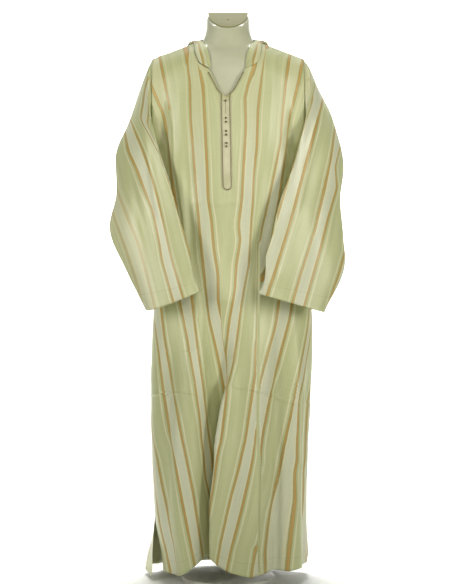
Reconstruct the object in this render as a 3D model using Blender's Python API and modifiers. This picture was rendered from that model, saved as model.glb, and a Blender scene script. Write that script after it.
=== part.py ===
"""Djellaba robe on a limbless dress form: one striped robe with a pointed hood, wide sleeves, a short
placket with knot buttons and side slits, worn by a smooth torso on a pole and a round base.

Metres, +Z up, the wearer faces -Y. The origin is the middle of the base's underside. A cloth piece is
a wall between a surface and the same surface moved inwards. Its surface is a function of two
coordinates: q runs across a panel from one side seam (-1) to the other (+1), and z is the height.
"""

import math

import bmesh
import bpy
import numpy as np
from mathutils import Matrix

# Cloth
WALL = 0.0015          # thickness of every cloth wall
DEEPEST = 6.0          # at a sharp edge the inside lies at most this many walls below the outside
SEAM = 0.0003          # gap between two pieces that are sewn together
TRIM_WALL = 0.0010     # thickness of the braid and the placket

# Heights in the tables are over a level that lies LIFT above the floor
LIFT = -0.012
HEM = 0.030            # hem of the front
HEM_RISE = 0.20        # height over which the hem's rise fades out
EVEN_BELOW = 0.850     # below this a panel's columns are evenly spaced
UNDERARM = 1.100       # lowest point of the armhole
YOKE = 1.195           # above this the rows of a panel follow its shoulder line
NECK_TOP = 1.4636      # back edge of the form's slanted neck

# Shoulder and armhole
ARM_X = 0.192          # distance of both armholes from the middle
ARM_DEPTH = 0.072      # half the armhole's depth from front to back
ARM_TOP = 1.333        # top of the armhole
SHOULDER_ROUND = 0.085  # height over which the cloth rounds off from the shoulder line to the chest
NECK_X = 0.088         # half width of the neckline at the shoulder line

# The line along the top of the shoulder: distance from the middle, height
RIDGE = ((0.000, 1.388), (0.050, 1.384), (0.088, 1.372), (0.192, 1.333))

# The neckline of the front: distance from the middle, height
FRONT_NECK = ((0.000, 1.222), (0.0175, 1.240), (0.043, 1.290), (0.052, 1.298), (0.072, 1.309),
              (0.083, 1.338), (0.088, 1.3722))
# The neckline of the back
BACK_NECK = ((0.000, 1.352), (0.050, 1.356), (0.080, 1.368), (0.088, 1.3722))

# Sections of the front panel: height, half width left and right, depth, squareness
FRONT = (
    (0.000, 0.1620, 0.2010, 0.142, 2.5),
    (0.060, 0.1670, 0.2010, 0.141, 2.5),
    (0.170, 0.1860, 0.2010, 0.139, 2.5),
    (0.300, 0.1930, 0.2030, 0.136, 2.5),
    (0.470, 0.1970, 0.2070, 0.131, 2.5),
    (0.600, 0.1950, 0.2080, 0.127, 2.5),
    (0.700, 0.1890, 0.2060, 0.122, 2.5),
    (0.850, 0.1840, 0.1860, 0.116, 2.5),
    (1.000, 0.1860, 0.1860, 0.116, 2.5),
    (1.100, 0.1915, 0.1915, 0.117, 2.5),
    (1.200, 0.1920, 0.1920, 0.112, 2.5),
    (1.300, 0.1920, 0.1920, 0.098, 2.5),
    (1.400, 0.1920, 0.1920, 0.094, 2.5),
)
# Sections of the back panel, with the same columns
BACK = (
    (0.000, 0.2260, 0.2070, 0.150, 2.4),
    (0.060, 0.2180, 0.2050, 0.146, 2.4),
    (0.170, 0.1868, 0.2010, 0.138, 2.4),
    (0.300, 0.1930, 0.2030, 0.132, 2.4),
    (0.470, 0.1970, 0.2070, 0.126, 2.4),
    (0.600, 0.1950, 0.2080, 0.120, 2.4),
    (0.700, 0.1890, 0.2060, 0.116, 2.4),
    (0.850, 0.1840, 0.1860, 0.106, 2.4),
    (1.000, 0.1860, 0.1860, 0.106, 2.4),
    (1.100, 0.1915, 0.1915, 0.116, 2.4),
    (1.200, 0.1920, 0.1920, 0.120, 2.4),
    (1.300, 0.1920, 0.1920, 0.110, 2.4),
    (1.400, 0.1920, 0.1920, 0.100, 2.4),
)

# The deep pleat down the middle of the front: height, place across, depth, half width, sideways lean
PLEAT = (
    (0.000, -0.235, 0.088, 0.0760, 0.55),
    (0.200, -0.270, 0.084, 0.0760, 0.55),
    (0.360, -0.235, 0.074, 0.0820, 0.50),
    (0.470, -0.170, 0.058, 0.0900, 0.42),
    (0.560, -0.100, 0.034, 0.0900, 0.35),
    (0.640, -0.055, 0.014, 0.0900, 0.30),
    (0.720, -0.020, 0.002, 0.0900, 0.30),
    (0.780, -0.008, 0.000, 0.0900, 0.30),
)
# Soft folds of the front: place across at the bottom and the top, lowest and highest point,
# depth (inwards is positive) and half width
FRONT_FOLDS = (
    (-0.62, -0.50, 0.00, 0.66, 0.013, 0.110),
    (-0.42, -0.30, 0.00, 0.62, -0.007, 0.120),
    (0.10, 0.16, 0.00, 0.70, -0.010, 0.150),
    (0.38, 0.36, 0.00, 0.74, 0.020, 0.100),
    (0.62, 0.60, 0.00, 0.66, -0.009, 0.130),
    (0.80, 0.74, 0.00, 0.60, 0.012, 0.090),
    (-0.60, -0.66, 0.84, 1.26, 0.015, 0.090),
    (0.58, 0.62, 0.84, 1.24, 0.013, 0.090),
    (-0.28, -0.34, 0.78, 1.14, 0.006, 0.120),
    (0.26, 0.32, 0.76, 1.12, 0.006, 0.120),
)
# Soft folds of the back, with the same columns
BACK_FOLDS = (
    (-0.66, -0.58, 0.00, 0.74, 0.018, 0.110),
    (-0.36, -0.34, 0.00, 0.92, 0.026, 0.110),
    (-0.05, 0.00, 0.00, 1.00, -0.012, 0.140),
    (0.24, 0.22, 0.00, 0.90, 0.028, 0.110),
    (0.56, 0.50, 0.00, 0.80, 0.020, 0.110),
    (0.80, 0.74, 0.00, 0.62, -0.008, 0.100),
)
# How far the hem rises at places across the front and the back
FRONT_HEM = ((-1.0, 0.000), (-0.62, 0.002), (-0.36, 0.004), (-0.20, 0.028), (0.0, 0.006), (0.3, 0.000),
             (0.6, 0.004), (1.0, 0.006))
BACK_HEM = ((-1.0, -0.008), (-0.5, -0.004), (0.0, -0.008), (0.5, -0.004), (1.0, 0.006))

# Sections of the sleeves: the points furthest out, forward, in and back (x is the distance from the
# middle), from the armhole to the cuff
LEFT_SLEEVE = (
    ((0.1923, 0.000, 1.3330), (0.1923, -0.072, 1.2165), (0.1923, 0.000, 1.1000), (0.1923, 0.072, 1.2165)),
    ((0.2085, 0.000, 1.3000), (0.1970, -0.080, 1.2000), (0.2060, 0.000, 1.0880), (0.2080, 0.076, 1.2000)),
    ((0.2260, -0.003, 1.2500), (0.1920, -0.092, 1.1650), (0.2120, -0.010, 1.0650), (0.2220, 0.062, 1.1650)),
    ((0.2450, -0.012, 1.1700), (0.1720, -0.110, 1.0950), (0.2070, -0.030, 1.0300), (0.2340, 0.040, 1.1100)),
    ((0.2735, -0.030, 1.0850), (0.1520, -0.122, 1.0300), (0.1940, -0.055, 0.9850), (0.2340, 0.015, 1.0450)),
    ((0.2685, -0.050, 0.9900), (0.1390, -0.133, 0.9650), (0.1720, -0.085, 0.9300), (0.2240, -0.015, 0.9600)),
    ((0.2840, -0.070, 0.8980), (0.1220, -0.145, 0.8800), (0.1480, -0.112, 0.8650), (0.2120, -0.050, 0.8800)),
    ((0.2490, -0.100, 0.8050), (0.1120, -0.158, 0.8150), (0.1170, -0.138, 0.8050), (0.1800, -0.092, 0.8000)),
    ((0.2010, -0.140, 0.6940), (0.1300, -0.176, 0.7150), (0.0690, -0.158, 0.7450), (0.1480, -0.130, 0.7220)),
)
RIGHT_SLEEVE = (
    ((0.1923, 0.000, 1.3330), (0.1923, -0.072, 1.2165), (0.1923, 0.000, 1.1000), (0.1923, 0.072, 1.2165)),
    ((0.2110, 0.000, 1.3000), (0.2020, -0.080, 1.2050), (0.2060, 0.000, 1.0880), (0.2080, 0.076, 1.2000)),
    ((0.2340, -0.003, 1.2500), (0.1930, -0.092, 1.1650), (0.2120, -0.010, 1.0650), (0.2250, 0.062, 1.1650)),
    ((0.2620, -0.012, 1.1700), (0.1720, -0.110, 1.0950), (0.2080, -0.030, 1.0300), (0.2390, 0.040, 1.1100)),
    ((0.2820, -0.030, 1.0600), (0.1560, -0.122, 1.0300), (0.1960, -0.055, 0.9850), (0.2400, 0.015, 1.0400)),
    ((0.2680, -0.050, 0.9700), (0.1360, -0.133, 0.9650), (0.1720, -0.085, 0.9300), (0.2280, -0.015, 0.9600)),
    ((0.2765, -0.070, 0.8800), (0.1240, -0.145, 0.8850), (0.1500, -0.112, 0.8650), (0.2150, -0.050, 0.8800)),
    ((0.2780, -0.095, 0.7950), (0.1190, -0.158, 0.8150), (0.1200, -0.138, 0.8050), (0.1950, -0.088, 0.8000)),
    ((0.2380, -0.135, 0.6900), (0.1550, -0.174, 0.7120), (0.0740, -0.158, 0.7370), (0.1640, -0.128, 0.7150)),
)

# Where the flat sleeves' two sharp edges are: place along the sleeve, turn of the outer edge and of
# the front edge, in degrees from its outermost point by way of the front
SLEEVE_EDGES = (
    (0.0000, 333, 111),
    (0.5600, 334, 112),
    (0.7500, 340, 122),
    (0.8750, 342, 127),
    (0.9375, 343, 143),
    (1.0000, 345, 167),
)
SLEEVE_EDGE = 0.62     # how blunt the sleeves' edges are: 1 is an oval, and less is blunter
SLEEVE_DEEPEST = 1.3   # the longest inward step of the wall at the armhole, in wall thicknesses
SLEEVE_FREE = (0.25, 0.45)  # places along the sleeve between which that grows to DEEPEST

# The hood, from the front end (1) round the shoulder (0.5) to the back (0) of the neck:
# place round the neck, then the height and the reach of its open edge from the middle
HOOD_EDGE = (
    (0.00, 0.000, 0.066, 1.412),
    (0.15, 0.036, 0.060, 1.410),
    (0.35, 0.063, 0.034, 1.402),
    (0.50, 0.0685, -0.002, 1.390),
    (0.65, 0.0600, -0.036, 1.370),
    (0.82, 0.0475, -0.070, 1.332),
    (1.00, 0.0430, -0.097, 1.294),
)
# The lowest line of the hood's hanging part, round the neck from the back (0) to the shoulder (0.5):
# distance from the middle, and how far it falls below the shoulder line
HOOD_FALL = (
    (0.00, 0.000, 3.35),
    (0.10, 0.034, 2.90),
    (0.20, 0.062, 2.25),
    (0.30, 0.084, 1.50),
    (0.40, 0.106, 0.60),
    (0.50, 0.104, 0.05),
)
HOOD_UNIT = 0.100      # height of one step of that fall below the rounded shoulder
HOOD_REACH = 0.026     # how far the hood's outer layer swells off the inner one
HOOD_FOLD = 0.008      # how far apart the two layers are at the fold
HOOD_STAND = 0.005     # how far the band round the neck bulges outwards
HOOD_TIP = 0.45        # where the fold is, from the seam (0) to the open edge (1)
HOOD_TURN = 0.78       # from here on the outer layer leaves the back for the open edge
HOOD_NARROW = 0.030    # where the band is narrower than this it bulges less
HOOD_CLEAR = 0.0022    # between the hood and the form
HOOD_GAP = 0.0080      # between the hood and the back that it lies on
HOOD_SEAM_GAP = 0.0012  # the same at the seam

# The dress form: height, half width, depth in front and behind
FORM = (
    (0.720, 0.1500, 0.098, 0.092),
    (0.800, 0.1560, 0.102, 0.096),
    (0.950, 0.1420, 0.094, 0.086),
    (1.100, 0.1620, 0.108, 0.100),
    (1.200, 0.1750, 0.106, 0.110),
    (1.300, 0.1770, 0.0905, 0.1030),
    (1.400, 0.1770, 0.0865, 0.0930),
)
FORM_FRONT = tuple((z, half, half, fore, 2.4) for z, half, fore, rear in FORM)
FORM_BACK = tuple((z, half, half, rear, 2.4) for z, half, fore, rear in FORM)
FORM_GAP = 0.0015      # between the cloth's inside and the form at the shoulders
FORM_NECK_DROP = 0.004  # how much lower its shoulder line is beside the neck
NECK_RINGS = ((1.300, 0.070, 0.064), (1.355, 0.070, 0.064), (1.374, 0.068, 0.062), (1.392, 0.061, 0.057),
              (1.415, 0.0560, 0.0535), (1.440, 0.0535, 0.0520), (NECK_TOP, 0.0525, 0.0515))
NECK_SLANT = math.radians(29)
CAP_THICKNESS = 0.0025
CAP_MARGIN = 0.0035    # the cap is this much smaller than the neck all round
CAP_HOLE = 0.0022      # radius
POLE_RADIUS = 0.0125
BASE_RADIUS = 0.118
BASE_HEIGHT = 0.006

# Placket, braid and knots, on the front panel
V_MIDDLE = -0.0056     # the opening's point is a little to the wearer's right
PLACKET_MIDDLE = ((0.990, -0.0020), (1.216, -0.0065))  # height, place across
PLACKET_HALF = 0.0125
TRIM_LIFT = 0.0007     # from the panel to the trim that lies on it
BRAID_TOP = 1.286
BRAID_END = 1.226
BRAID_INSET = 0.0006
KNOT_FLATNESS = 0.8
CAP_BACK = 0.80        # the cap's straight back edge, as a share of its depth
PLACKET_TOP = 1.216
PLACKET_END = 0.990
BRAID_WIDTH = 0.0055
KNOT_RADIUS = 0.0032
KNOT_HEIGHTS = (1.2120, 1.1690, 1.1590, 1.1365, 1.1275, 1.1065, 1.0985)

# How finely the pieces are divided
FRONT_COLUMNS = 32
BACK_COLUMNS = 22
YOKE_ROWS = 10
NECK_SHARE = 0.6       # share of a panel's columns that start at its neckline
SLEEVE_SIDES = 20
SLEEVE_RINGS = 17

COLLECTION = "Djellaba robe"


def clear_scene():
    for item in list(bpy.data.objects):
        bpy.data.objects.remove(item)


def collection():
    found = bpy.data.collections.get(COLLECTION) or bpy.data.collections.new(COLLECTION)
    if found.name not in bpy.context.scene.collection.children:
        bpy.context.scene.collection.children.link(found)
    return found


def material(name, colour, roughness, metallic=0.0):
    made = bpy.data.materials.new(name)
    made.use_nodes = True
    shader = made.node_tree.nodes["Principled BSDF"]
    shader.inputs["Base Color"].default_value = (*colour, 1.0)
    shader.inputs["Roughness"].default_value = roughness
    shader.inputs["Metallic"].default_value = metallic
    made.diffuse_color = (*colour, 1.0)
    return made


def through(table, at, column=1):
    """A smooth curve through two columns of a table, read at one or many places."""
    x = np.array([row[0] for row in table], float)
    y = np.array([row[column] for row in table], float)
    slope = np.gradient(y, x)
    at = np.clip(np.asarray(at, float), x[0], x[-1])
    i = np.clip(np.searchsorted(x, at, side="right") - 1, 0, len(x) - 2)
    step = x[i + 1] - x[i]
    t = (at - x[i]) / step
    return ((2 * t**3 - 3 * t**2 + 1) * y[i] + (t**3 - 2 * t**2 + t) * step * slope[i]
            + (3 * t**2 - 2 * t**3) * y[i + 1] + (t**3 - t**2) * step * slope[i + 1])


def straight(table, at, column=1):
    return np.interp(at, [row[0] for row in table], [row[column] for row in table])


def ease(value, low, high):
    t = np.clip((value - low) / (high - low), 0, 1)
    return t * t * (3 - 2 * t)


def body(q, z, panel, side):
    """The robe's surface: side is -1 on the front panel and +1 on the back one."""
    q, z = np.broadcast_arrays(np.asarray(q, float), np.asarray(z, float))
    half = np.where(q < 0, through(panel, z, 1), through(panel, z, 2))
    square = 2 / through(panel, z, 4)
    angle = np.abs(q) * math.pi / 2
    x = np.sign(q) * half * np.sin(angle) ** square
    ridge = straight(RIDGE, np.abs(x))
    drop = np.clip((ridge - z) / SHOULDER_ROUND, 0, 1)
    depth = through(panel, z, 3) * np.sqrt(1 - (1 - drop) ** 2)
    up = np.clip((z - UNDERARM) / (ridge - UNDERARM), 0, 1)
    armhole = ARM_DEPTH * 2 * np.sqrt(up * (1 - up)) * ease(np.abs(q), 0.35, 1.0)
    y = armhole + np.maximum(depth - armhole, 0) * np.cos(angle) ** square
    point = np.stack([x, side * y, z], -1)
    edge = 1 - np.abs(q) ** 10
    if side == 0:
        return point
    if side < 0:
        bump = np.exp(-(((q - through(PLEAT, z, 1)) / through(PLEAT, z, 3)) ** 2))
        inward = through(PLEAT, z, 2) * bump * edge
        point[..., 1] += inward
        point[..., 0] += inward * through(PLEAT, z, 4)
    for low_q, high_q, low, high, fold, width in FRONT_FOLDS if side < 0 else BACK_FOLDS:
        share = np.clip((z - low) / (high - low), 0, 1)
        middle = low_q + (high_q - low_q) * share
        fade = 1 - ease(z, high - 0.3 * (high - low), high)
        if low > 0:
            fade = fade * ease(z, low, low + 0.3 * (high - low))
        depth = fold * fade * edge * np.exp(-(((q - middle) / width) ** 2))
        point[..., 1] -= side * depth * np.cos(angle)
        point[..., 0] -= np.sign(q) * depth * np.sin(angle)
    return point


def normals(surface, a, b, step=1e-4):
    """Outward unit normals of surface(a, b), from small steps to either side."""
    across = surface(a + step, b) - surface(a - step, b)
    along = surface(a, b + step) - surface(a, b - step)
    cross = np.cross(across, along)
    return cross / np.maximum(np.linalg.norm(cross, axis=-1, keepdims=True), 1e-12)


def panel_levels():
    """Heights of the rows below the yoke: close together under the arm, and even below it."""
    under = (1.165, 1.140, 1.120, 1.107, 1.100, 1.090, 1.065)
    lower = np.linspace(1.020, HEM, 17)
    return np.concatenate([under, lower])


def even_columns(panel, side, z, count):
    """Places across the panel that are evenly spaced along the cloth at one height."""
    fine = np.linspace(-1, 1, 801)
    points = body(fine, np.full_like(fine, z), panel, side)
    length = np.concatenate([[0], np.cumsum(np.linalg.norm(np.diff(points, axis=0), axis=1))])
    middle = float(through(PLEAT, z, 1)) if side < 0 else 0.0
    centre = np.interp(middle, fine, length)
    half = count // 2
    left = np.linspace(0, centre, half + 1)
    right = np.linspace(centre, length[-1], half + 1)[1:]
    return np.interp(np.concatenate([left, right]), length, fine)


def below_ridge(x, z):
    """How far down the cloth a height is from the rounded shoulder line above it."""
    drop = straight(RIDGE, np.abs(x)) - z
    turn = np.arccos(1 - np.clip(drop / SHOULDER_ROUND, 0, 1))
    return SHOULDER_ROUND * turn + np.maximum(drop - SHOULDER_ROUND, 0)


def height_at(x, down):
    """The height that lies so far down the cloth from the shoulder line: below_ridge turned round."""
    turn = np.minimum(down / SHOULDER_ROUND, math.pi / 2)
    straight_on = np.maximum(down - SHOULDER_ROUND * math.pi / 2, 0)
    return straight(RIDGE, np.abs(x)) - SHOULDER_ROUND * (1 - np.cos(turn)) - straight_on


def yoke_columns(panel, side, neck, count):
    """Places across the panel along its neckline and shoulder, and those at the yoke below them."""
    half = count // 2
    at_neck = round(half * NECK_SHARE)
    fine = np.linspace(0, NECK_X, 400)
    edge = body(across(fine, np.full_like(fine, YOKE), panel), straight(neck, fine), panel, side)
    length = np.concatenate([[0], np.cumsum(np.linalg.norm(np.diff(edge, axis=0), axis=1))])
    along_neck = np.interp(np.linspace(0, length[-1], at_neck + 1), length, fine)
    top = np.concatenate([along_neck, np.linspace(NECK_X, ARM_X, half - at_neck + 1)[1:]])
    places = []
    for x in (top, np.linspace(0, ARM_X, half + 1)):
        x = np.concatenate([-x[:0:-1], x])
        if side < 0:
            x = x + V_MIDDLE * np.clip(1 - np.abs(x) / NECK_X, 0, 1)
        places.append(across(x, np.full_like(x, YOKE), panel))
    return places


def panel_grid(panel, side, neck, hem, count):
    """Rows of q and z from the shoulder line and neckline down to the hem."""
    top_q, yoke_q = yoke_columns(panel, side, neck, count)
    top_x = body(top_q, np.full_like(top_q, YOKE), panel, side)[:, 0]
    neck_x = np.abs(top_x - (V_MIDDLE * np.clip(1 - np.abs(top_x) / NECK_X, 0, 1) if side < 0 else 0))
    ridge = straight(RIDGE, np.abs(top_x))
    top_z = np.where(neck_x < NECK_X - 1e-6, np.minimum(straight(neck, neck_x), ridge), ridge)
    top_down = below_ridge(top_x, top_z)
    rows_q, rows_z = [], []
    for share in np.linspace(0, 1, YOKE_ROWS + 1):
        q = top_q + (yoke_q - top_q) * share
        x = body(q, np.full_like(q, YOKE), panel, side)[:, 0]
        down = top_down + (below_ridge(x, np.full_like(x, YOKE)) - top_down) * share
        rows_q.append(q)
        rows_z.append(height_at(x, down) if share < 1 else np.full_like(q, YOKE))
    for level in panel_levels():
        even = even_columns(panel, side, level, count)
        q = even + (yoke_q - even) * ease(level, EVEN_BELOW, YOKE)
        rise = straight(hem, q) * (1 - ease(level, HEM, HEM + HEM_RISE))
        rows_q.append(q)
        rows_z.append(level + rise)
    return np.array(rows_q), np.array(rows_z)


def inward(outer, sign, closed=False):
    """From each point of a grid to the inner side of a wall that is 1 thick everywhere.

    It is the step that lies 1 below all the faces round the point, so it is longer at a sharp
    edge, up to DEEPEST. sign is 1 or -1 and says which side of the grid is the outer one.
    """
    ring = np.concatenate([outer, outer[:, :1]], 1) if closed else outer
    along = ring[1:] - ring[:-1]
    across = ring[:, 1:] - ring[:, :-1]
    flat = sign * np.cross(across[:-1] + across[1:], along[:, :-1] + along[:, 1:])
    flat /= np.maximum(np.linalg.norm(flat, axis=-1, keepdims=True), 1e-12)
    rows, columns = outer.shape[:2]
    square = np.zeros((rows, columns, 3, 3)) + 1e-3 * np.eye(3)
    total = np.zeros((rows, columns, 3))
    for i in (0, 1):
        for j in (0, 1):
            at = (np.arange(flat.shape[1]) + j) % columns
            where = (slice(i, rows - 1 + i), at)
            np.add.at(square, where, flat[..., :, None] * flat[..., None, :])
            np.add.at(total, where, flat)
    step = -np.linalg.solve(square, total[..., None])[..., 0]
    length = np.linalg.norm(step, axis=-1, keepdims=True)
    return step * np.minimum(1, DEEPEST / np.maximum(length, 1e-9))


def wall(name, outer, inner, made, closed=False):
    """A closed wall between two grids of points, with rims round its open edges."""
    rows, columns = outer.shape[:2]
    count = rows * columns
    points = np.concatenate([outer.reshape(-1, 3), inner.reshape(-1, 3)])
    at = np.arange(count).reshape(rows, columns)
    faces = []
    spans = columns if closed else columns - 1
    for i in range(rows - 1):
        for j in range(spans):
            k = (j + 1) % columns
            faces.append((at[i, j], at[i + 1, j], at[i + 1, k], at[i, k]))
            faces.append(tuple(count + v for v in (at[i, j], at[i, k], at[i + 1, k], at[i + 1, j])))
    for j in range(spans):
        k = (j + 1) % columns
        faces.append((at[0, k], at[0, j], at[0, j] + count, at[0, k] + count)[::-1])
        faces.append((at[-1, j], at[-1, k], at[-1, k] + count, at[-1, j] + count)[::-1])
    if not closed:
        for i in range(rows - 1):
            faces.append((at[i, 0], at[i + 1, 0], at[i + 1, 0] + count, at[i, 0] + count)[::-1])
            faces.append((at[i + 1, -1], at[i, -1], at[i, -1] + count, at[i + 1, -1] + count)[::-1])
    mesh = bpy.data.meshes.new(name)
    mesh.from_pydata(points.tolist(), [], [tuple(int(v) for v in face) for face in faces])
    mesh.update()
    shell = bmesh.new()
    shell.from_mesh(mesh)
    bmesh.ops.recalc_face_normals(shell, faces=shell.faces)
    shell.to_mesh(mesh)
    shell.free()
    mesh.shade_smooth()
    mesh.set_sharp_from_angle(angle=math.radians(50))
    mesh.materials.append(made)
    piece = bpy.data.objects.new(name, mesh)
    piece.location.z = LIFT
    collection().objects.link(piece)
    return piece


def make_panel(name, panel, side, neck, hem, count, made):
    q, z = panel_grid(panel, side, neck, hem, count)

    outer = body(q, z, panel, side)
    inner = outer + WALL * along_seams(inward(outer, side), outer)
    outer[..., 1] += side * SEAM / 2
    inner[..., 1] += side * SEAM / 2
    return wall(name, outer, inner, made)


def along_seams(step, outer):
    """The steps inwards, with those along the seams turned so that both pieces' rims are parallel."""
    step = step.copy()
    for column in (0, -1):
        y, z = outer[:, column, 1], outer[:, column, 2]
        middle = (ARM_TOP + UNDERARM) / 2
        ring = np.stack([np.zeros_like(z), y / ARM_DEPTH**2, (z - middle) / (ARM_TOP - middle) ** 2], -1)
        ring /= np.linalg.norm(ring, axis=-1, keepdims=True)
        sideways = np.zeros_like(ring)
        sideways[:, 0] = np.sign(outer[:, column, 0])
        at_arm = z > UNDERARM + 0.001
        step[:, column] = -np.where(at_arm[:, None], ring, sideways)
    on_ridge = np.abs(outer[0, :, 1]) < 1e-6
    step[0] = np.where(on_ridge[:, None], (0.0, 0.0, -1.0), step[0])
    return step


def sleeve_surface(table, sign):
    rows = np.array(table)
    rows = rows * np.array([sign, 1, 1])
    stations = np.linspace(0, 1, len(rows))

    def surface(turn, along):
        turn, along = np.broadcast_arrays(np.asarray(turn, float), np.asarray(along, float))
        corner = np.empty(turn.shape + (4, 3))
        for c in range(4):
            for axis in range(3):
                pairs = list(zip(stations, rows[:, c, axis]))
                corner[..., c, axis] = through(pairs, along)
        far, fore, near, rear = (corner[..., c, :] for c in range(4))
        blunt = (1 - (1 - SLEEVE_EDGE) * ease(along, 0.0, 0.12))[..., None]
        cos, sin = np.cos(turn)[..., None], np.sin(turn)[..., None]
        sin = np.sign(sin) * np.abs(sin) ** blunt
        share = np.sin(turn)[..., None] ** 2
        middle = (1 - share) * (far + near) / 2 + share * (fore + rear) / 2
        return middle + cos * (far - near) / 2 + sin * (fore - rear) / 2

    return surface


def sleeve_ring(surface, along):
    """Points round the sleeve: one on each of its two sharp edges, and even steps between them."""
    outside, front = (math.radians(straight(SLEEVE_EDGES, along, c)) for c in (1, 2))
    turns = []
    for low, high in ((outside - 2 * math.pi, front), (front, outside)):
        fine = np.linspace(low, high, 400)
        steps = np.linalg.norm(np.diff(surface(fine, along), axis=0), axis=1)
        length = np.concatenate([[0], np.cumsum(steps)])
        even = np.linspace(0, length[-1], SLEEVE_SIDES // 2 + 1)[:-1]
        turns.append(np.interp(even, length, fine))
    return surface(np.concatenate(turns), along)


def make_sleeve(name, table, sign, made):
    surface = sleeve_surface(table, sign)
    outer = np.array([sleeve_ring(surface, along) for along in np.linspace(0, 1, SLEEVE_RINGS)])
    step = inward(outer, sign, closed=True)
    free = ease(np.linspace(0, 1, SLEEVE_RINGS), *SLEEVE_FREE)[:, None, None]
    limit = SLEEVE_DEEPEST + (DEEPEST - SLEEVE_DEEPEST) * free
    step *= np.minimum(1, limit / np.linalg.norm(step, axis=-1, keepdims=True))
    ring = step[0].copy()
    ring[:, 0] = 0
    step[0] = ring / np.linalg.norm(ring, axis=-1, keepdims=True)
    return wall(name, outer, outer + WALL * step, made, closed=True)


def hood_seam(place):
    """The neckline, from the front end (1) over the shoulder (0.5) to the back (0), just outside."""
    place = np.asarray(place, float)
    front = place > 0.5
    x = np.where(front, 0.050 + (NECK_X - 0.050) * np.sin(np.clip(1 - place, 0, 0.5) * math.pi) ** 0.8,
                 NECK_X * np.sin(np.clip(place, 0, 0.5) * math.pi) ** 0.8)
    z = np.where(front, straight(FRONT_NECK, x), straight(BACK_NECK, x))
    q = np.empty_like(x)
    for i, value in np.ndenumerate(x):
        panel = FRONT if front[i] else BACK
        half, square = through(panel, z[i], 1), 2 / through(panel, z[i], 4)
        q[i] = math.asin((value / half) ** (1 / square)) * 2 / math.pi
    at_front = body(q, z, FRONT, -1)
    at_back = body(q, z, BACK, 1)
    return np.where(front[..., None], at_front, at_back)


def over_back(x, fall, gap):
    """Points that stand gap off the robe's back. fall is 0 on the shoulder line, 1 where the
    shoulder's rounding ends, and grows by 1 for each HOOD_UNIT of height below that."""
    ridge = straight(RIDGE, np.abs(x))
    turn = np.clip(fall, 0, 1) * math.pi / 2
    below = np.maximum(fall - 1, 0) * HOOD_UNIT
    z = ridge - SHOULDER_ROUND + (SHOULDER_ROUND + gap) * np.cos(turn) - below
    half, square = through(BACK, z, 1), through(BACK, z, 4)
    deep = through(BACK, z, 3) * (1 - np.clip(np.abs(x) / half, 0, 1) ** square) ** (1 / square)
    return np.stack([x, (deep + gap) * np.sin(turn), z], -1)


def hood_surface(place, along):
    """along runs from the seam (0) through the hanging fold (HOOD_TIP) to the open edge (1)."""
    side = np.where(place < 0, -1.0, 1.0)
    place = np.abs(place)
    edge = np.stack([through(HOOD_EDGE, place, c) for c in (1, 2, 3)], -1)
    rear = np.minimum(place, 0.5)
    seam_x = NECK_X * np.sin(rear * math.pi) ** 0.8
    seam_drop = (straight(RIDGE, seam_x) - straight(BACK_NECK, seam_x)) / SHOULDER_ROUND
    seam_fall = np.arccos(np.clip(1 - seam_drop, -1, 1)) * 2 / math.pi
    share = np.where(along < HOOD_TIP, along / HOOD_TIP, (1 - along) / (1 - HOOD_TIP))
    x = seam_x + (through(HOOD_FALL, rear, 1) - seam_x) * share
    fall = seam_fall + (through(HOOD_FALL, rear, 2) - seam_fall) * share
    full = 0.3 + 0.7 * ease(0.5 - rear, 0, 0.2)
    turned = ease(along, HOOD_TIP - 0.02, HOOD_TIP + 0.02)
    swell = np.sin(math.pi * np.clip(1 - share, 0, 1)) ** 0.8 * ease(0.5 - rear, 0, 0.3)
    gap = HOOD_SEAM_GAP + HOOD_GAP * full * ease(along, 0, 0.10)
    gap = gap + turned * (HOOD_FOLD + HOOD_REACH * swell)
    bag = over_back(x, fall, gap)
    close = ease(along, HOOD_TURN, 1.0)[..., None]
    bag = bag * (1 - close) + edge * close
    seam = hood_seam(place) + hood_lift(place)
    band = seam + (edge - seam) * along[..., None]
    width = np.linalg.norm(edge - seam, axis=-1)
    bulge = HOOD_STAND * np.minimum(1, width / HOOD_NARROW) * np.sin(math.pi * along)
    band = band + np.stack([0.6 * bulge, -0.6 * bulge * ease(place, 0.5, 0.8), bulge], -1)
    front = ease(place, 0.47, 0.60)[..., None]
    point = bag * (1 - front) + band * front
    point[..., 0] *= side
    return clear_of_form(point)


def form_ridge(x):
    """The form's shoulder line: just under the robe's, and lower beside the neck, under the hood."""
    beside_neck = 1 - ease(np.abs(x), NECK_X + 0.012, NECK_X + 0.042)
    return straight(RIDGE, np.abs(x)) - WALL - FORM_GAP - FORM_NECK_DROP * beside_neck


def clear_of_form(point):
    """Moves points of the hood out to just clear of the form's chest and neck."""
    x, z = point[..., 0], point[..., 2]
    half, square = through(FORM, z, 1), FORM_FRONT[0][4]
    ridge = form_ridge(x)
    drop = np.clip((ridge - z) / SHOULDER_ROUND, 0, 1)
    chest = through(FORM, z, 2) * np.sqrt(1 - (1 - drop) ** 2)
    chest = chest * (1 - np.clip(np.abs(x) / half, 0, 1) ** square) ** (1 / square) + WALL + HOOD_CLEAR
    chest = np.where(drop > 0, chest, 0)
    point[..., 1] = np.where(point[..., 1] < 0, np.minimum(point[..., 1], -chest), point[..., 1])
    wide = through(NECK_RINGS, z, 1) + WALL + HOOD_CLEAR
    deep = through(NECK_RINGS, z, 2) + WALL + HOOD_CLEAR
    near = np.sqrt((x / wide) ** 2 + (point[..., 1] / deep) ** 2)
    point[..., :2] *= np.where(near < 1, 1 / near, 1.0)[..., None]
    return point


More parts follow.
